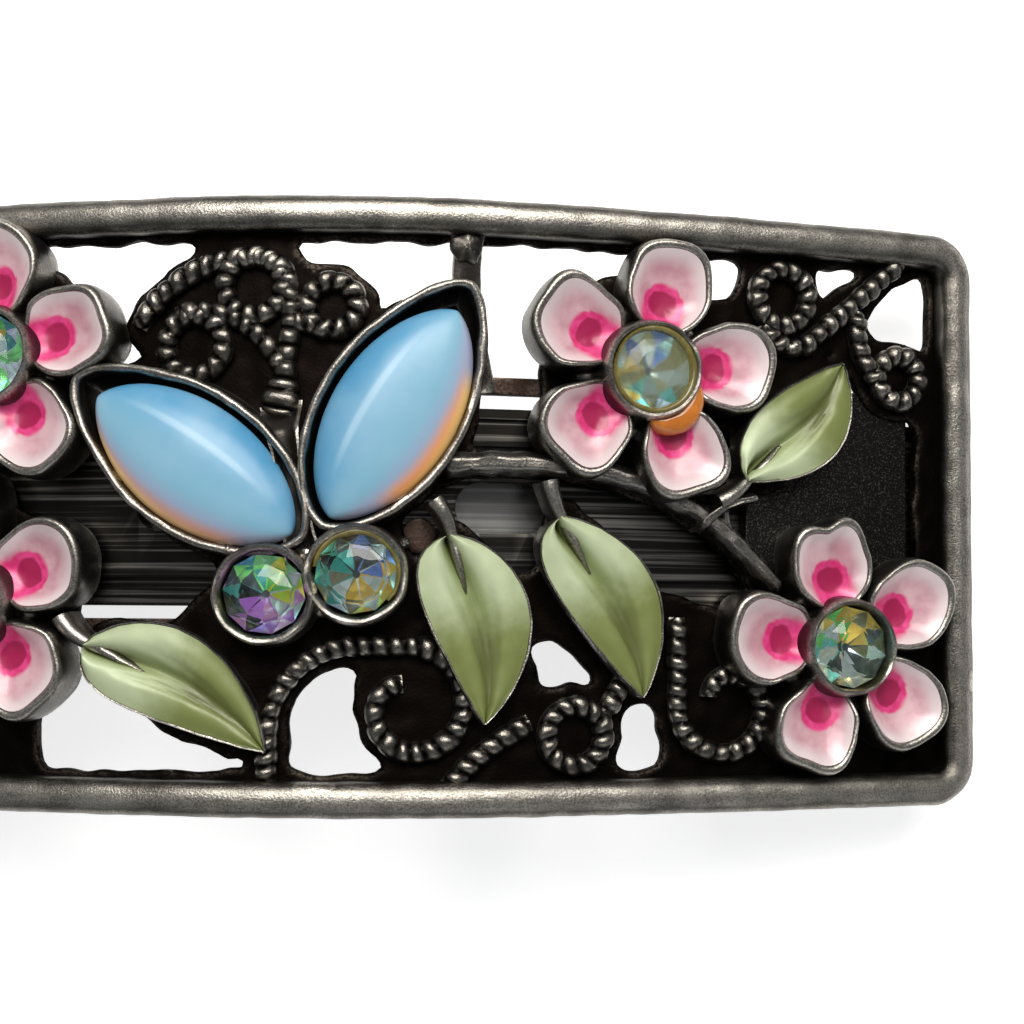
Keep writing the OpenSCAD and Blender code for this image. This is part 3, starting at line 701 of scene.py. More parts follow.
def trunk_width(d, total):
    """The butterfly's crest narrows upwards from its root."""
    return 1.05 + 1.05 * smoothstep(total - 3.2, total - 0.4, d)


def scrolls():
    """Seven groups of beaded strands, with rings beside them."""
    for i, (strands, rings) in enumerate(SCROLLS):
        rng = random.Random(40 + i)
        shell = Shell()
        for k, strand in enumerate(strands):
            crest = {"width": trunk_width, "lean": 0.0} if (i, k) == TRUNK else {}
            rope(shell, bends(*strand), rng, **crest)
        for x, y, r in rings:
            rope(shell, circle_route(x, y, r, rng.uniform(0, 6)), rng, closed=True)
        piece(f"scroll_{i + 1}_beads", shell, [CAST_SCROLL], [f"scroll_{i + 1}"], uneven=0.05, grain=0.7)


def bough(shell, route, widths, top, seed=0.0):
    """A tapering stem with grooves along it and knots where the bark swells."""
    path, total = resample(route, 0.16)
    ridges = 4

    def section(d):
        t = d / total
        half = (widths[0] + (widths[1] - widths[0]) * t) / 2
        half *= 1 + 0.16 * noise.noise(Vector((d * 0.9, seed, 0)))
        end = min(1.0, 0.35 + 2.2 * d, 0.35 + 2.2 * (total - d))
        out = []
        for a in half_turn(14):
            twist = 2.2 * noise.noise(Vector((d * 0.6, seed, 3)))
            groove = 1 - 0.09 * (0.5 + 0.5 * cos(2 * ridges * a + twist))
            rise = (top * 0.75) * sin(a) ** 0.8 * groove * end
            out.append((-half * cos(a) * groove * end, (top * 0.25) + rise))
        wall = [(half * 0.9 * end, UNDERSIDE * 0.3), (half * 0.8 * end, UNDERSIDE)]
        return out + wall + [(-c, h) for c, h in reversed(wall)]

    sweep(shell, path, section, polish=lambda h: 0.6 * smoothstep(0.72, 0.97, h / top))


def twig():
    """The twig with its side shoot and its spur."""
    shell = Shell()
    bough(shell, bends(*TWIG), (1.3, 1.0), top=0.95)
    bough(shell, bends(*SHOOT), (0.85, 0.55), top=1.15, seed=5.0)
    bough(shell, bends(*SPUR), (0.65, 0.75), top=0.7, seed=9.0)
    piece("twig_bark", shell, [CAST], ["twig"], uneven=0.07, grain=0.8)


def strut():
    """The bar from the upper rim, with a knob where it meets it."""
    s, _ = place_of("cross_strut")
    shell = Shell()
    top_y = 14.2
    path, _ = resample(bends(s - 0.2, top_y, -92, [(40, 10), (0, 1.5)]), 0.2)

    def section(d):
        half = 0.72 + 0.24 * smoothstep(2.0, 9.0, d) + 0.25 * smoothstep(1.2, 0.0, d)
        top = 0.22 - 0.55 * smoothstep(1.0, 4.0, d)
        crown = [(-half * cos(a), top - 0.25 + 0.25 * sin(a)) for a in half_turn(8)]
        return [(-half, UNDERSIDE)] + crown + [(half, UNDERSIDE)]

    sweep(shell, path, section)
    knob_r, knob_h, knob_y = 0.85, 0.35, 13.1
    knob = []
    for a in map(radians, range(4, 100, 8)):
        knob.append((knob_r * sin(a), knob_h * cos(a) + 0.1))
    knob += [(0.75, -0.6), (0.05, -0.6)]
    lathe(shell, s - 0.3, knob_y, knob, steps=28, wobble=0.08, rng=random.Random(6))
    piece("strut_bar", shell, [CAST], ["cross_strut"], uneven=0.06, grain=0.9)


# ---- the ground that joins the ornaments ----


def oval_points(s, y, turn, half_l, half_w):
    """Points round a pointed oval."""
    to, steps, point = turned(s, y, turn), 40, 1.6
    out = []
    for a in round_angles(steps):
        c, side = cos(a), sin(a)
        out.append(to(half_l * c, copysign(half_w * abs(side) ** point, side)))
    return out


def ground():
    """A thin web wherever two ornaments, or an ornament and the rim, come near each other."""
    reach_s, reach_y = HALF_LEN - 1, FRONT_W / 2 - 1
    columns, rows = round(2 * reach_s / WEB_STEP), round(2 * reach_y / WEB_STEP)
    s = np.linspace(-reach_s, reach_s, columns + 1)[:, None] * np.ones(rows + 1)
    y = np.linspace(-reach_y, reach_y, rows + 1)[None, :] * np.ones((columns + 1, 1))

    def from_line(points, half, closed=False):
        points = list(points) + ([points[0]] if closed else [])
        best = np.full(s.shape, 99.0)
        for a, b in zip(points, points[1:]):
            dx, dy = b[0] - a[0], b[1] - a[1]
            t = np.clip(((s - a[0]) * dx + (y - a[1]) * dy) / max(1e-9, dx * dx + dy * dy), 0, 1)
            best = np.minimum(best, np.hypot(s - a[0] - t * dx, y - a[1] - t * dy))
        return best - half

    def from_disc(x, v, r):
        return np.hypot(s - x, y - v) - r

    flower_reach, eye_reach, twig_reach, ledge_reach = 4.9, 2.6, 0.3, 0.15
    near = [from_disc(x, v, flower_reach) for x, v, _ in FLOWERS]
    near += [from_disc(x, v, eye_reach) for x, v in EYES]
    for strands, _ in SCROLLS:
        near += [from_line(bends(*strand, step=0.8), STRAND_W / 2) for strand in strands]
    near += [from_disc(x, v, r + STRAND_W / 2) for _, rings in SCROLLS for x, v, r in rings]
    near.append(from_line(bends(*TWIG, step=1.5), twig_reach))
    near += [from_line(ledge, ledge_reach) for ledge in ledges()]
    near += [from_disc(*place_of(*nodes), r) for nodes, r in POOLS]
    for strands, rings in SCROLLS:
        if not rings:
            near += [from_disc(*bends(*strand)[-1], CURL_EYE_R) for strand in strands]
    for x, v, turn in WINGS:
        wing_oval = oval_points(x, v, turn, OPAL_LEN / 2 + 0.9, OPAL_W / 2 + 0.4)
        near.append(from_line(wing_oval, 0.35, closed=True))
    for x, v, heading, length, _, left, right, _ in LEAVES:
        middle = turned(x, v, heading)(length * 0.47, (left[0] - right[0]) / 2)
        half = (left[0] + right[0]) / 2 - 0.45
        for part in (1, 0.5):
            leaf_oval = oval_points(*middle, heading, length / 2 - 0.3, half * part)
            near.append(from_line(leaf_oval, 0.1, closed=True))
    for node in ("corner_web_right", "corner_web_left"):
        (x0, y0), (x1, y1) = corner_span(node)
        past_s = np.abs(s - (x0 + x1) / 2) - (x1 - x0) / 2
        past_y = np.abs(y - (y0 + y1) / 2) - (y1 - y0) / 2
        near.append(np.maximum(past_s, past_y) + 0.6)
    rim_gap = np.minimum(HALF_LEN - RIM_W - np.abs(s), FRONT_W / 2 - RIM_W - np.abs(y))
    near.append(rim_gap + 0.05)
    field = -WEB_SOFT * np.log(sum(np.exp(-np.clip(d, -6, 30) / WEB_SOFT) for d in near)) - WEB_REACH
    for i in range(columns + 1):
        for j in range(rows + 1):
            field[i, j] -= WEB_RAGGED * noise.noise(Vector((s[i, j] * 0.8, y[i, j] * 0.8, 4.0)))
    under_rim = 0.9
    web_mesh(s, y, np.maximum(field, -under_rim - rim_gap))


def ledges():
    """The ground's edges along the lower side of the clasp and between the right pad and the rim."""
    inward = 0.6
    _, rail_y = place_of("back_rail_lower")
    low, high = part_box("mounting_pad_right")
    between = (unrolled(high[0] / MM, low[2] / MM) + HALF_LEN - RIM_W) / 2
    lower = [(place_of(node)[0], rail_y + inward) for node in ("eye_stone_right", "flower_stone_2")]
    return [lower, [(between, low[1] / MM), (between, high[1] / MM)]]


def corner_span(node):
    """s and y of a corner web's lower and upper corners."""
    low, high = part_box(node)
    middle, _ = place_of(node)
    slope = CROWN_ANGLE + 0.08
    half = (high[0] - low[0]) / 2 / MM / cos(slope)
    return (middle - half, low[1] / MM), (middle + half, high[1] / MM)


def web_mesh(s, y, field):
    """The part of a grid where the field is negative, as a plate with smooth edges."""
    shell, known, places = Shell(), {}, []

    def point(a, b):
        """The index of a grid point, or of the place between two where the field is 0."""
        a, b = min(a, b), max(a, b)
        if (a, b) not in known:
            t = 0.0 if a == b else field[a] / (field[a] - field[b])
            known[(a, b)] = len(places)
            places.append((s[a] + (s[b] - s[a]) * t, y[a] + (y[b] - y[a]) * t, a != b))
        return known[(a, b)]

    cells = []
    for i in range(s.shape[0] - 1):
        for j in range(s.shape[1] - 1):
            corners = [(i, j), (i + 1, j), (i + 1, j + 1), (i, j + 1)]
            inside = [field[c] < 0 for c in corners]
            loop = []
            for k in range(4):
                a, b = corners[k], corners[(k + 1) % 4]
                if inside[k]:
                    loop.append(point(a, a))
                if inside[k] != inside[(k + 1) % 4]:
                    loop.append(point(a, b))
            if loop:
                cells.append(loop)
    upper = []
    for a, b, edge in places:
        h = WEB_TOP - (WEB_EDGE_DROP if edge else 0) + 0.07 * noise.noise(Vector((a, b, 0)))
        upper.append((a, b, h))
    top = shell.ring(upper)
    low = shell.ring([(a, b, WEB_UNDERSIDE) for a, b, _ in places])
    used = {}
    for loop in cells:
        shell.face([top[v] for v in loop])
        shell.face([low[v] for v in reversed(loop)])
        for a, b in zip(loop, loop[1:] + loop[:1]):
            used[(a, b)] = True
    for a, b in used:
        if (b, a) not in used:
            shell.face((top[a], low[a], low[b], top[b]))
    piece("ground_web", shell, [GROUND_PATINA_AND_SHADE], ["corner_web_right", "corner_web_left"], sharp=70)


# ---- flowers ----


def petal_outline(angle, shape):
    """Distance from a petal's middle to its edge. The shape is its waviness, its notch and its point."""
    wave, notch, tip = shape
    c, k = cos(angle), sin(angle)
    across = 2.26 * (1 - 0.20 * max(0.0, -c))
    r = (abs(c / 2.34) ** 2.7 + abs(k / across) ** 2.7) ** (-1 / 2.7)
    r *= 1 + 0.034 * sin(3 * angle + wave) + 0.022 * sin(5 * angle + 2 * wave)
    near = atan2(k, c)
    return r * (1 - notch * exp(-((near / 0.30) ** 2))) * (1 + tip * exp(-((near / 0.42) ** 2)))


def throat(u, v):
    """Below 0.5 in the crimson pool, up to 0.9 in the hot pink between it and the stone, and more beyond."""
    pool = hypot((u - 3.65) / 0.72, v / 0.84)
    reach = hypot((u - 2.9) / 1.5, v / 1.15)
    return 0.5 * min(1.0, pool) + 0.4 * min(2.0, reach) * smoothstep(0.9, 1.35, pool)


def petal(cup, fill, to, shape):
    """One petal: a cast cup with flared walls, and the enamel that lines it up to a narrow lip."""
    middle, steps, enamel_drop, enamel_edge = 4.36, 56, 0.14, 0.87

    def lip(angle):
        inward = smoothstep(-0.55, -1.0, cos(angle))
        return 1.92 + 0.10 * sin(2 * angle + shape[0]) - 0.45 * inward

    def bowl(part, angle, drop=0.0):
        u = middle - 0.75 * (1 - part) + petal_outline(angle, shape) * part * cos(angle)
        base = 0.85 + 0.12 * smoothstep(2.6, 4.8, u)
        return base + (lip(angle) - enamel_drop - base) * min(1.0, part / enamel_edge) ** 2.3 - drop

    def ring(shell, part, height, polish=None):
        points, marks = [], []
        for angle in round_angles(steps):
            r = petal_outline(angle, shape) * part
            u, v = middle - 0.75 * (1 - min(1.0, part)) + r * cos(angle), r * sin(angle)
            points.append((*to(u, v), height(angle)))
            marks.append((throat(u, v), part) if polish is None else (polish, 0.0))
        return shell.ring(points, marks)

    cup_rings = [ring(cup, part, lambda a: UNDERSIDE, 0.0) for part in (0.3, 1.0)]
    for part, drop, polish in (
        (1.05, 2.1, 0.0), (1.07, 1.4, 0.0), (1.065, 0.8, 0.0), (1.05, 0.4, 0.1), (1.02, 0.14, 0.45),
        (0.985, 0.02, 0.85), (0.945, 0.0, 0.95), (0.905, 0.05, 0.8), (0.875, 0.13, 0.5),
    ):
        cup_rings.append(ring(cup, part, lambda a, d=drop: lip(a) - d, polish))
    for part in (0.86, 0.80, 0.65, 0.4, 0.2, 0.06):
        cup_rings.append(ring(cup, part, lambda a, p=part: bowl(p, a, 0.16), 0.0))
    cup.loft(cup_rings)
    upper, lower = (0.06, 0.16, 0.28, 0.4, 0.5, 0.6, 0.68, 0.75, 0.81, 0.85, 0.875), (0.86, 0.65, 0.4, 0.1)
    fill_rings = [ring(fill, part, lambda a, p=part: bowl(p, a)) for part in upper]
    fill_rings += [ring(fill, part, lambda a, p=part: bowl(p, a, 0.09)) for part in lower]
    fill.loft(fill_rings)


# Colours of the stones' back facets: iridescent tints, and painted reflections and glints, dark and pale
FACET_COLOURS_AND_GLINTS = {
    "green": srgb(120, 225, 120), "teal": srgb(70, 170, 160), "lime": srgb(225, 245, 60),
    "violet": srgb(190, 120, 225), "blue": srgb(110, 140, 215), "pale": srgb(205, 225, 225),
    "slate": srgb(70, 84, 84), "dark": srgb(28, 34, 36), "gold": srgb(232, 200, 90),
    "pink": srgb(225, 160, 215), "sage": srgb(168, 172, 138), "olive": srgb(128, 130, 92),
    "cyan": srgb(120, 215, 215),
}


def rhinestone(name, x, y, radius, seat, colours, node, glass, start=0.0, dome=1.0):
    """A foil-backed stone: a girdle, a crown of facets up to a table, and a faceted back in its seat."""
    shell = Shell()
    colours = [FACET_COLOURS_AND_GLINTS[colour] for colour in colours.split()]
    n = len(colours)

    def row(r, h, shift):
        return shell.ring([(*polar(x, y, r, start + 2 * pi * (k + shift) / n), h) for k in range(n)])

    girdle = seat + 0.5
    table = row(radius * 0.44, girdle + 0.92 * dome, 0.5)
    upper = row(radius * 0.74, girdle + 0.70 * dome, 0.0)
    top = row(radius, girdle + 0.12, 0.5)
    low = row(radius, girdle, 0.5)
    back = row(radius * 0.56, girdle - 0.62, 0.0)
    tip = row(radius * 0.10, girdle - 1.15, 0.5)
    shell.face(table)
    for k in range(n):
        j = (k + 1) % n
        for corners in (
            (upper[k], table[k], table[k - 1]), (table[k], upper[k], upper[j]),
            (upper[k], top[k - 1], top[k]), (upper[k], top[k], upper[j]), (top[k], top[j], low[j], low[k]),
        ):
            shell.face(corners)
        for corners, turn in (
            ((low[k], back[k], back[j]), 0), ((back[k], low[k - 1], low[k]), 1),
            ((back[k], tip[k - 1], tip[k]), 0), ((tip[k], back[k], back[j]), 2),
        ):
            shell.face(corners, 1, colours[(k + turn) % n])
    shell.face(tip, 1, FACET_COLOURS_AND_GLINTS["slate"])
    piece(name, shell, [glass, FOIL_AND_GLINTS], [node], sharp=1)


def flowers():
    """Four flowers: for each petal its waviness, notch and point, and for each stone its facets' colours."""
    shapes = [
        [(0.4, 0.0, 0.0), (1.9, 0.0, 0.04), (3.1, 0.0, 0.0), (4.6, 0.0, 0.0), (5.5, 0.0, 0.03)],
        [(1.2, 0.0, 0.10), (2.2, 0.16, 0.0), (3.6, 0.0, 0.0), (4.9, 0.0, 0.0), (0.3, 0.0, 0.03)],
        [(2.0, 0.0, 0.0), (0.9, 0.0, 0.05), (3.3, 0.10, 0.0), (5.1, 0.0, 0.0), (1.4, 0.0, 0.0)],
        [(0.7, 0.0, 0.0), (2.6, 0.0, 0.0), (4.1, 0.0, 0.06), (5.9, 0.0, 0.0), (3.0, 0.0, 0.0)],
    ]
    # The colours of each stone's back facets, iridescent tints mixed with painted reflections and glints
    stones = [
        ("sage pale sage blue pale sage gold sage cyan pale", CLOUDED, 0.8),
        ("slate olive gold gold green pale cyan pale slate pale", GLASS, 0.9),
        ("pale green teal gold violet pale slate teal pale green", GLASS, 1.0),
        ("cyan pale olive green pink slate pale sage cyan pale", GLASS, 1.0),
    ]
    seat = [
        (2.86, UNDERSIDE), (2.86, 0.35), (2.70, 0.9), (2.60, 1.7), (2.52, 2.16), (2.40, 2.30), (2.28, 2.27),
        (2.20, 2.1), (2.16, 1.5), (1.9, 0.9), (1.2, 0.3), (0.5, 0.1), (0.5, UNDERSIDE),
    ]
    bead = [(0.02, 0.86), (0.28, 0.80), (0.46, 0.6), (0.55, 0.2), (0.55, -0.7), (0.02, -0.7)]
    bead_place, stone_seat = 3.05, 1.15
    for i, (s, y, turn) in enumerate(FLOWERS):
        rng = random.Random(70 + i)
        cup, fill = Shell(), Shell()
        for k in range(5):
            petal(cup, fill, turned(s, y, turn + 72 * k), shapes[i][k])
        lathe(cup, s, y, seat, wobble=0.02, rng=rng)
        for k in range(5):
            lathe(cup, *turned(s, y, turn + 36 + 72 * k)(bead_place, 0), bead, steps=18)
        piece(f"flower_{i + 1}_casting", cup, [CAST], [f"flower_cup_{i + 1}"], uneven=0.035, grain=0.9)
        enamel = [f"petal_enamel_{i + 1}"]
        piece(f"flower_{i + 1}_enamel", fill, [PETAL], enamel, uneven=0.035, grain=0.9, sharp=80)
        colours, glass, dome = stones[i]
        start = rng.uniform(0, 0.4)
        node = f"flower_stone_{i + 1}"
        name = f"flower_{i + 1}_stone"
        rhinestone(name, s, y, CHATON_R - 0.02, stone_seat, colours, node, glass, start, dome)


# ---- leaves ----


def leaf(index, s, y, heading, length, bend, left, right, lead):
    """A leaf along a bent vein: a cast dish with a thin lip, and enamel in two lobes beside the vein."""
    rows, columns, floor_drop = 46, 26, 0.12
    vein, _ = resample(bends(s, y, heading - bend / 2, [(length / radians(abs(bend)), bend)]), 0.05)
    dish, fill = Shell(), Shell()
    back = turned(s, y, heading - bend / 2)

    def edges(t):
        at, side, _ = vein[round(t * (len(vein) - 1))]
        return at + side * left[0] * hump(t, left[1]), at - side * right[0] * hump(t, right[1])

    def crease(offset, width):
        return exp(-((offset / width) ** 2))

    def between(t, a, b, c, d):
        return smoothstep(a, b, t) * (1 - smoothstep(c, d, t))

    def surface(t, v):
        """The enamel's height: two lobes, the deep vein, a side crease in each lobe and a raised edge."""
        side = abs(v)
        h = 0.92 + 0.42 * sin(pi * min(1.0, side * 0.94)) * (1 - 0.55 * t)
        h -= 0.52 * crease(side, 0.24) * (1 - t) ** 1.4
        h -= 0.16 * crease(v + 0.48 - 0.42 * t, 0.07) * between(t, 0.12, 0.3, 0.6, 0.95)
        h -= 0.10 * crease(v - 0.55 + 0.5 * t, 0.07) * between(t, 0.2, 0.4, 0.5, 0.8)
        return h + 0.12 * side ** 8

    # Places across the leaf, from 1 at its left edge to -1 at its right
    bed = [1 - 2 * j / 12 for j in range(1, 12)]
    upper = [1 - 2 * j / columns for j in range(columns + 1)]
    lower = [-1 + 2 * j / 6 for j in range(7)]
    dish_rings, fill_rings = [], []
    for k in range(rows + 1):
        t = 0.5 - 0.5 * cos(pi * (0.03 + 0.94 * k / rows))
        p, q = edges(t)
        middle, half = (p + q) / 2, max(0.12, (p - q).length / 2)
        across = (p - q).normalized()
        at = lambda c, h: (*(middle + across * c), h)
        crest = 1.16 + 0.05 * sin(9 * t + index)
        inner = max(0.03, half - 0.17)
        wall = [(half, 0.7), (half, crest - 0.1), (half - 0.05, crest), (half - 0.12, crest - 0.02)]
        wall.append((inner, crest - 0.2))
        profile = wall + [(inner * v, surface(t, v) - floor_drop) for v in bed]
        profile += [(-c, h) for c, h in reversed(wall)]
        profile += [(-half * 0.86, UNDERSIDE), (half * 0.86, UNDERSIDE)]
        dish_rings.append(dish.ring([at(c, h) for c, h in profile]))
        reach = half - 0.14 if half > 0.3 else half * 0.6
        points = [at(v * reach, surface(t, v)) for v in upper]
        points += [at(v * max(0.02, half - 0.16), surface(t, v) - 0.1) for v in lower]
        fill_rings.append(fill.ring(points, [(t, v) for v in upper + lower]))
    dish.loft(dish_rings)
    fill.loft(fill_rings)
    stem = [Vector(back(-1.9 + 0.2 * k, lead * (1 - k / 9) ** 2)) for k in range(10)]
    stem += [v for v, _, _ in vein[: len(vein) // 3]][4::4]
    path, total = resample(stem, 0.12)

    def stalk(d):
        t = d / total
        half, top = 0.50 * (1 - 0.72 * t), 1.28 - 0.38 * t + 0.05 * sin(d * 2.3)
        flank = [(half, -0.6), (half * 1.04, top - 0.75), (half * 0.9, top - 0.3), (half * 0.55, top - 0.06)]
        return flank + [(0.0, top)] + [(-c, h) for c, h in reversed(flank)]

    sweep(dish, path, stalk, polish=lambda h: 0.9 * smoothstep(0.62, 0.95, h))
    piece(f"leaf_{index}_casting", dish, [CAST], [f"leaf_cup_{index}"], uneven=0.04, grain=0.8)
    piece(f"leaf_{index}_enamel", fill, [LEAF], [f"leaf_enamel_{index}"], uneven=0.04, grain=0.8, sharp=80)


# ---- the butterfly ----


def oval_half(t, width, blunt=0.72):
    """Half the width of a pointed oval at t from -1 to 1 along it."""
    return width / 2 * max(0.0, 1 - t * t) ** blunt


def wing(i):
    """One wing: a thin upright wall round a dished pocket, and the domed stone in it."""
    s, y, turn = WINGS[i]
    to = turned(s, y, turn)
    tip = -1 if i == 0 else 1
    wall, stone = Shell(), Shell()
    half_l, width = OPAL_LEN / 2 + 0.45, OPAL_W + 0.84
    outline, steps, drawn_from = [], 120, 0.55
    for a in round_angles(steps):
        t = cos(a)
        u = half_l * t
        if t * tip > drawn_from:
            u += tip * 0.95 * ((t * tip - drawn_from) / (1 - drawn_from)) ** 1.3
        outline.append(Vector((u, copysign(oval_half(t, width, 0.62), sin(a)))))
    path, _ = resample(outline, 0.22, closed=True)
    rings = []
    for p, side, d in path:
        crest = 1.68 + 0.09 * noise.noise(Vector((d * 0.5, i, 0)))
        thick = 0.22 + 0.05 * noise.noise(Vector((d * 0.8, i, 7)))
        section = [
            (0.9, UNDERSIDE), (-thick - 0.16, UNDERSIDE), (-thick - 0.10, 0.2), (-thick - 0.03, 1.1),
            (-thick, crest - 0.12), (-thick * 0.5, crest - 0.01), (0.0, crest), (thick * 0.6, crest - 0.06),
            (thick, crest - 0.3), (thick + 0.04, 0.75), (0.75, 0.25), (0.9, 0.15),
        ]
        marks = [(0.7 * smoothstep(1.42, 1.64, h), 0.0) for _, h in section]
        rings.append(wall.ring([(*to(*(p + side * c)), h) for c, h in section], marks))
    wall.loft(rings, loop=True)
    floor = []
    for part, h in ((0.25, -0.7), (0.82, -0.7), (0.82, 0.32), (0.25, 0.32)):
        floor.append(wall.ring([(*to(*Vector((p.x * part, p.y * part))), h) for p, _, _ in path]))
    wall.loft(floor)
    side_name = ("left", "right")[i]
    piece(f"wing_{i + 1}_bezel", wall, [CAST], [f"wing_bezel_{side_name}"], uneven=0.045, grain=0.8)

    rows, columns, under = 72, 32, 9
    half_l, rise, girdle, seat, shift = OPAL_LEN / 2, 1.32, 1.18, 0.55, -0.14
    upper = [cos(pi * j / columns) for j in range(columns + 1)]
    lower = [-cos(pi * j / under) for j in range(1, under)]
    rings = []
    for k in range(rows + 1):
        t = -cos(pi * (0.012 + 0.976 * k / rows))
        along = (1 + tip * t) / 2
        half = oval_half(t, OPAL_W + 0.12, 0.65)
        points = []
        for v in upper:
            dome = rise * (1 - abs(v) ** 2.3) ** 0.72 * (half / (OPAL_W / 2)) ** 0.62
            points.append((*to(half_l * t, half * v + shift), girdle + dome))
        points += [(*to(half_l * t * 0.97, half * v * 0.93 + shift), seat) for v in lower]
        rings.append(stone.ring(points, [(along, v) for v in upper + lower]))
    stone.loft(rings)
    piece(f"wing_{i + 1}_stone", stone, [OPALS[i]], [f"opal_{side_name}"], sharp=80)
    return to


def butterfly_body():
    """The hollowed spine between the wings, and the cups that hold the eyes."""
    shell = Shell()
    path, total = resample(bends(*SPINE), 0.15)

    def section(d):
        half = 0.62 + 0.42 * (2.0 * d / total - 1.05) ** 2
        sink = 1.3 * smoothstep(1.6, 0.0, d)
        out = [(-half, UNDERSIDE)]
        for j in range(13):
            v = -1 + j / 6
            fall = 0.22 * max(0.0, abs(v) - 0.85) / 0.15
            out.append((half * v, 0.95 - sink + 0.60 * abs(v) ** 2.4 - fall))
        return out + [(half, UNDERSIDE)]

    sweep(shell, path, section)
    rng = random.Random(21)
    cup = [
        (2.62, UNDERSIDE), (2.60, 0.6), (2.52, 1.5), (2.47, 1.92), (2.36, 2.04), (2.22, 2.02),
        (2.10, 1.86), (2.04, 1.3), (1.8, 0.8), (1.1, 0.2), (0.5, 0.0), (0.5, UNDERSIDE),
    ]
    for place in EYES:
        lathe(shell, *place, cup, wobble=0.03, rng=rng)
    bead_place = 2.75
    for eye, angle, r in ((0, 45, 0.42), (0, 130, 0.3), (0, -15, 0.35), (1, 35, 0.3)):
        place = turned(*EYES[eye], angle)(bead_place, 0)
        bead = [(0.02, 1.75), (r * 0.6, 1.68), (r, 1.3), (r * 1.1, 0.3), (r * 1.1, -0.7), (0.02, -0.7)]
        lathe(shell, *place, bead, steps=16, wobble=0.02, rng=rng)
    piece("butterfly_spine", shell, [CAST], ["butterfly_body"], uneven=0.05, grain=0.8)


def glue(places):
    """Glue that crept out beside the stones: thin crescents and one bead.

    Each place is an opal's own coordinates and where along it the glue starts and ends.
    """
    shell = Shell()
    for to, t0, t1 in places:
        rings = []
        for k in range(25):
            t = t0 + (t1 - t0) * k / 24
            fade = sin(pi * k / 24) ** 0.5
            inner, outer = oval_half(t, OPAL_W - 0.3), oval_half(t, OPAL_W + 0.75, 0.64)
            outer = inner + (outer - inner) * max(0.15, fade)
            u = (OPAL_LEN / 2 + 0.1) * t
            section = [
                (inner - 0.2, 0.5), (inner - 0.1, 1.28), (inner + 0.1, 1.30),
                ((inner + outer) / 2, 1.18), (outer, 1.22), (outer, 0.5),
            ]
            rings.append(shell.ring([(*to(u, -c), h) for c, h in section], [(0.4, 0.0)] * len(section)))
        shell.loft(rings)
    # Round the stones: place, inner radius, first and last angle, width, height and how warm the glue is
    flower = FLOWERS[0][:2]
    crescents = (
        (EYES[1], EYE_R - 0.02, -40, 170, 0.36, 1.86, 0.0),
        (flower, CHATON_R - 0.12, -200, 158, 0.34, 2.24, 0.0),
        (flower, 2.42, -92, -16, 1.15, 1.95, 1.0),
    )
    foot = 0.9
    for place, r, a0, a1, wide, h, warm in crescents:
        rings = []
        for k in range(33):
            t = k / 32
            a = radians(a0 + (a1 - a0) * t)
            w = wide * sin(pi * (0.04 + 0.92 * t)) ** 0.6
            section = [
                (r - 0.12, foot), (r - 0.05, h - 0.06), (r + w * 0.35, h + 0.02),
                (r + w * 0.8, h - 0.08), (r + w, h - 0.3), (r + w, foot),
            ]
            points = [(*polar(*place, q, a), z) for q, z in section]
            rings.append(shell.ring(points, [(warm, 0.0)] * len(points)))
        shell.loft(rings)
    piece("glue_traces", shell, [GLUE], ["glue_beads"], uneven=0.03, grain=0.6, sharp=80)


def butterfly():
    """The wings, the spine with its eye cups, the two eyes and the glue beside the stones."""
    to_left, to_right = wing(0), wing(1)
    butterfly_body()
    # Each eye's back facets: iridescent tints mixed with painted reflections and glints
    for side_name, place, colours, start, dome in (
        ("left", EYES[0], "pale lime green green teal slate dark violet violet pink", 0.2, 0.95),
        ("right", EYES[1], "pale blue slate dark teal teal olive pale gold gold", 0.5, 1.05),
    ):
        node = f"eye_stone_{side_name}"
        rhinestone(f"eye_{side_name}", *place, EYE_R - 0.02, 0.98, colours, node, GLASS, start, dome)
    glue([(to_left, -0.62, 0.86), (to_right, -0.82, 0.30)])


# ---- the clasp and the other carried-over parts ----


def eased(node, material, width, body="front"):
    """A copy of a CAD part with its sharp edges rounded."""
    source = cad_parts[node]
    mesh = source.data.copy()
    mesh.name = node + "_eased"
    obj = add_object(node + "_eased", mesh)
    obj.matrix_world = source.matrix_world.copy()
    b = bmesh.new()
    b.from_mesh(mesh)
    bmesh.ops.remove_doubles(b, verts=b.verts, dist=2e-6)
    bmesh.ops.dissolve_limit(b, angle_limit=radians(0.2), verts=b.verts, edges=b.edges)
    edges = [e for e in b.edges if len(e.link_faces) == 2 and e.calc_face_angle(0) > radians(35)]
    bmesh.ops.bevel(
        b, geom=edges, offset=width * MM, segments=2, profile=0.6, affect="EDGES", clamp_overlap=True
    )
    bmesh.ops.triangulate(b, faces=[f for f in b.faces if len(f.verts) > 4])
    b.to_mesh(mesh)
    b.free()
    mesh.materials.clear()
    mesh.materials.append(material)
    finish_mesh(mesh, [(v.co.z / MM - CROWN_Z, 0.0, 0.0) for v in mesh.vertices], 32)
    obj.modifiers.new("even_faces", "WEIGHTED_NORMAL").keep_sharp = True
    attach(obj, body)
    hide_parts(node)


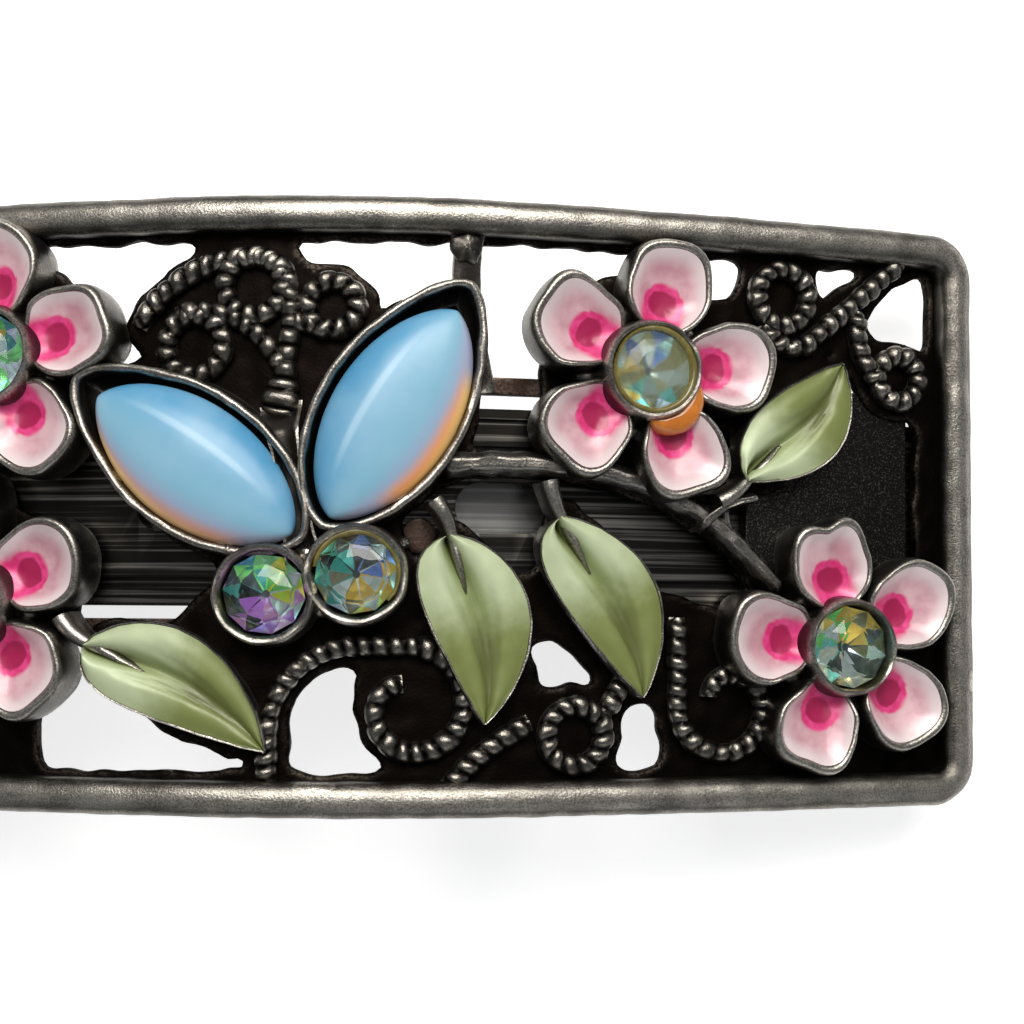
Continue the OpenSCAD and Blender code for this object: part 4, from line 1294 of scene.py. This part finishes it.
def clasp():
    """The back rails, the pads and the clasp's parts, each with its own rounding in millimetres."""
    for node in ("back_rail_upper", "back_rail_lower"):
        eased(node, CAST_BROWN, 0.12)
    for node in ("mounting_pad_right", "mounting_pad_left"):
        eased(node, SANDED, 0.12)
    eased("clasp_base", CLASP, 0.08)
    eased("rivet_pegs", CAST_BROWN, 0.12)
    eased("hinge_pin", SPRING, 0.08)
    eased("tension_spring", SPRING, 0.06)
    for node, width in (("clasp_arm", 0.10), ("catch_prong_upper", 0.07), ("catch_prong_lower", 0.07)):
        eased(node, CLASP, width, body=node)


# ---- floor, light, camera ----


def studio():
    """A pale floor just below the clip, pale surroundings and three soft lights. Lengths are in metres."""
    mesh = bpy.data.meshes.new("floor")
    half, floor_z = 2, -0.00002
    corners = [(x * half, y * half, floor_z) for x, y in ((-1, -1), (1, -1), (1, 1), (-1, 1))]
    mesh.from_pydata(corners, [], [(0, 1, 2, 3)])
    n = Nodes("floor")
    n.set(Base_Color=(0.86, 0.86, 0.85), Roughness=0.7)
    n.set(Emission_Color=(1.0, 1.0, 1.0), Emission_Strength=0.70)
    mesh.materials.append(n.material)
    floor = add_object("floor", mesh)

    world = bpy.data.worlds.new("studio")
    bpy.context.scene.world = world
    world.use_nodes = True
    background = world.node_tree.nodes["Background"].inputs
    background["Color"].default_value = (0.93, 0.95, 1.0, 1.0)
    background["Strength"].default_value = 0.20

    aim = Vector((0, 0, 0.01))
    for name, place, size, power, colour in (
        ("key", (0.02, 0.16, 0.22), (0.26, 0.12), 0.68, (1.0, 0.97, 0.92)),
        ("top", (-0.03, 0.12, 0.28), (0.16, 0.12), 0.24, (1.0, 0.98, 0.96)),
        ("fill", (0.05, -0.25, 0.12), (0.3, 0.15), 0.10, (0.94, 0.96, 1.0)),
    ):
        light = bpy.data.lights.new(name, "AREA")
        light.shape, light.energy, light.color = "RECTANGLE", power, colour
        light.size, light.size_y = size
        lamp = add_object(name, light)
        lamp.location = place
        lamp.rotation_euler = (aim - Vector(place)).to_track_quat("-Z", "Y").to_euler()


def camera():
    """Straight down over the crown's right side, tipped by a few degrees. The angles are in radians."""
    tip, roll, turn = -0.05934, 0.02262, -0.00727
    right, up, away = 8.563, -0.386, 84.675
    axes = Matrix.Rotation(turn, 3, "Z") @ Matrix.Rotation(tip, 3, "X") @ Matrix.Rotation(roll, 3, "Y")
    place = axes.transposed() @ Vector((right, up, away)) + Vector((0, 0, CROWN_Z))
    lens = bpy.data.cameras.new("camera")
    lens.sensor_width, lens.lens = 36.0, 59.77
    lens.clip_start, lens.clip_end = 0.002, 10.0
    eye = add_object("camera", lens)
    eye.matrix_world = Matrix.Translation(place * MM) @ axes.transposed().to_4x4()
    bpy.context.scene.camera = eye


studio()
camera()
rim()
scrolls()
twig()
strut()
ground()
flowers()
for number, shape in enumerate(LEAVES):
    leaf(number + 1, *shape)
butterfly()
clasp()
bpy.context.scene.view_settings.view_transform = "Standard"
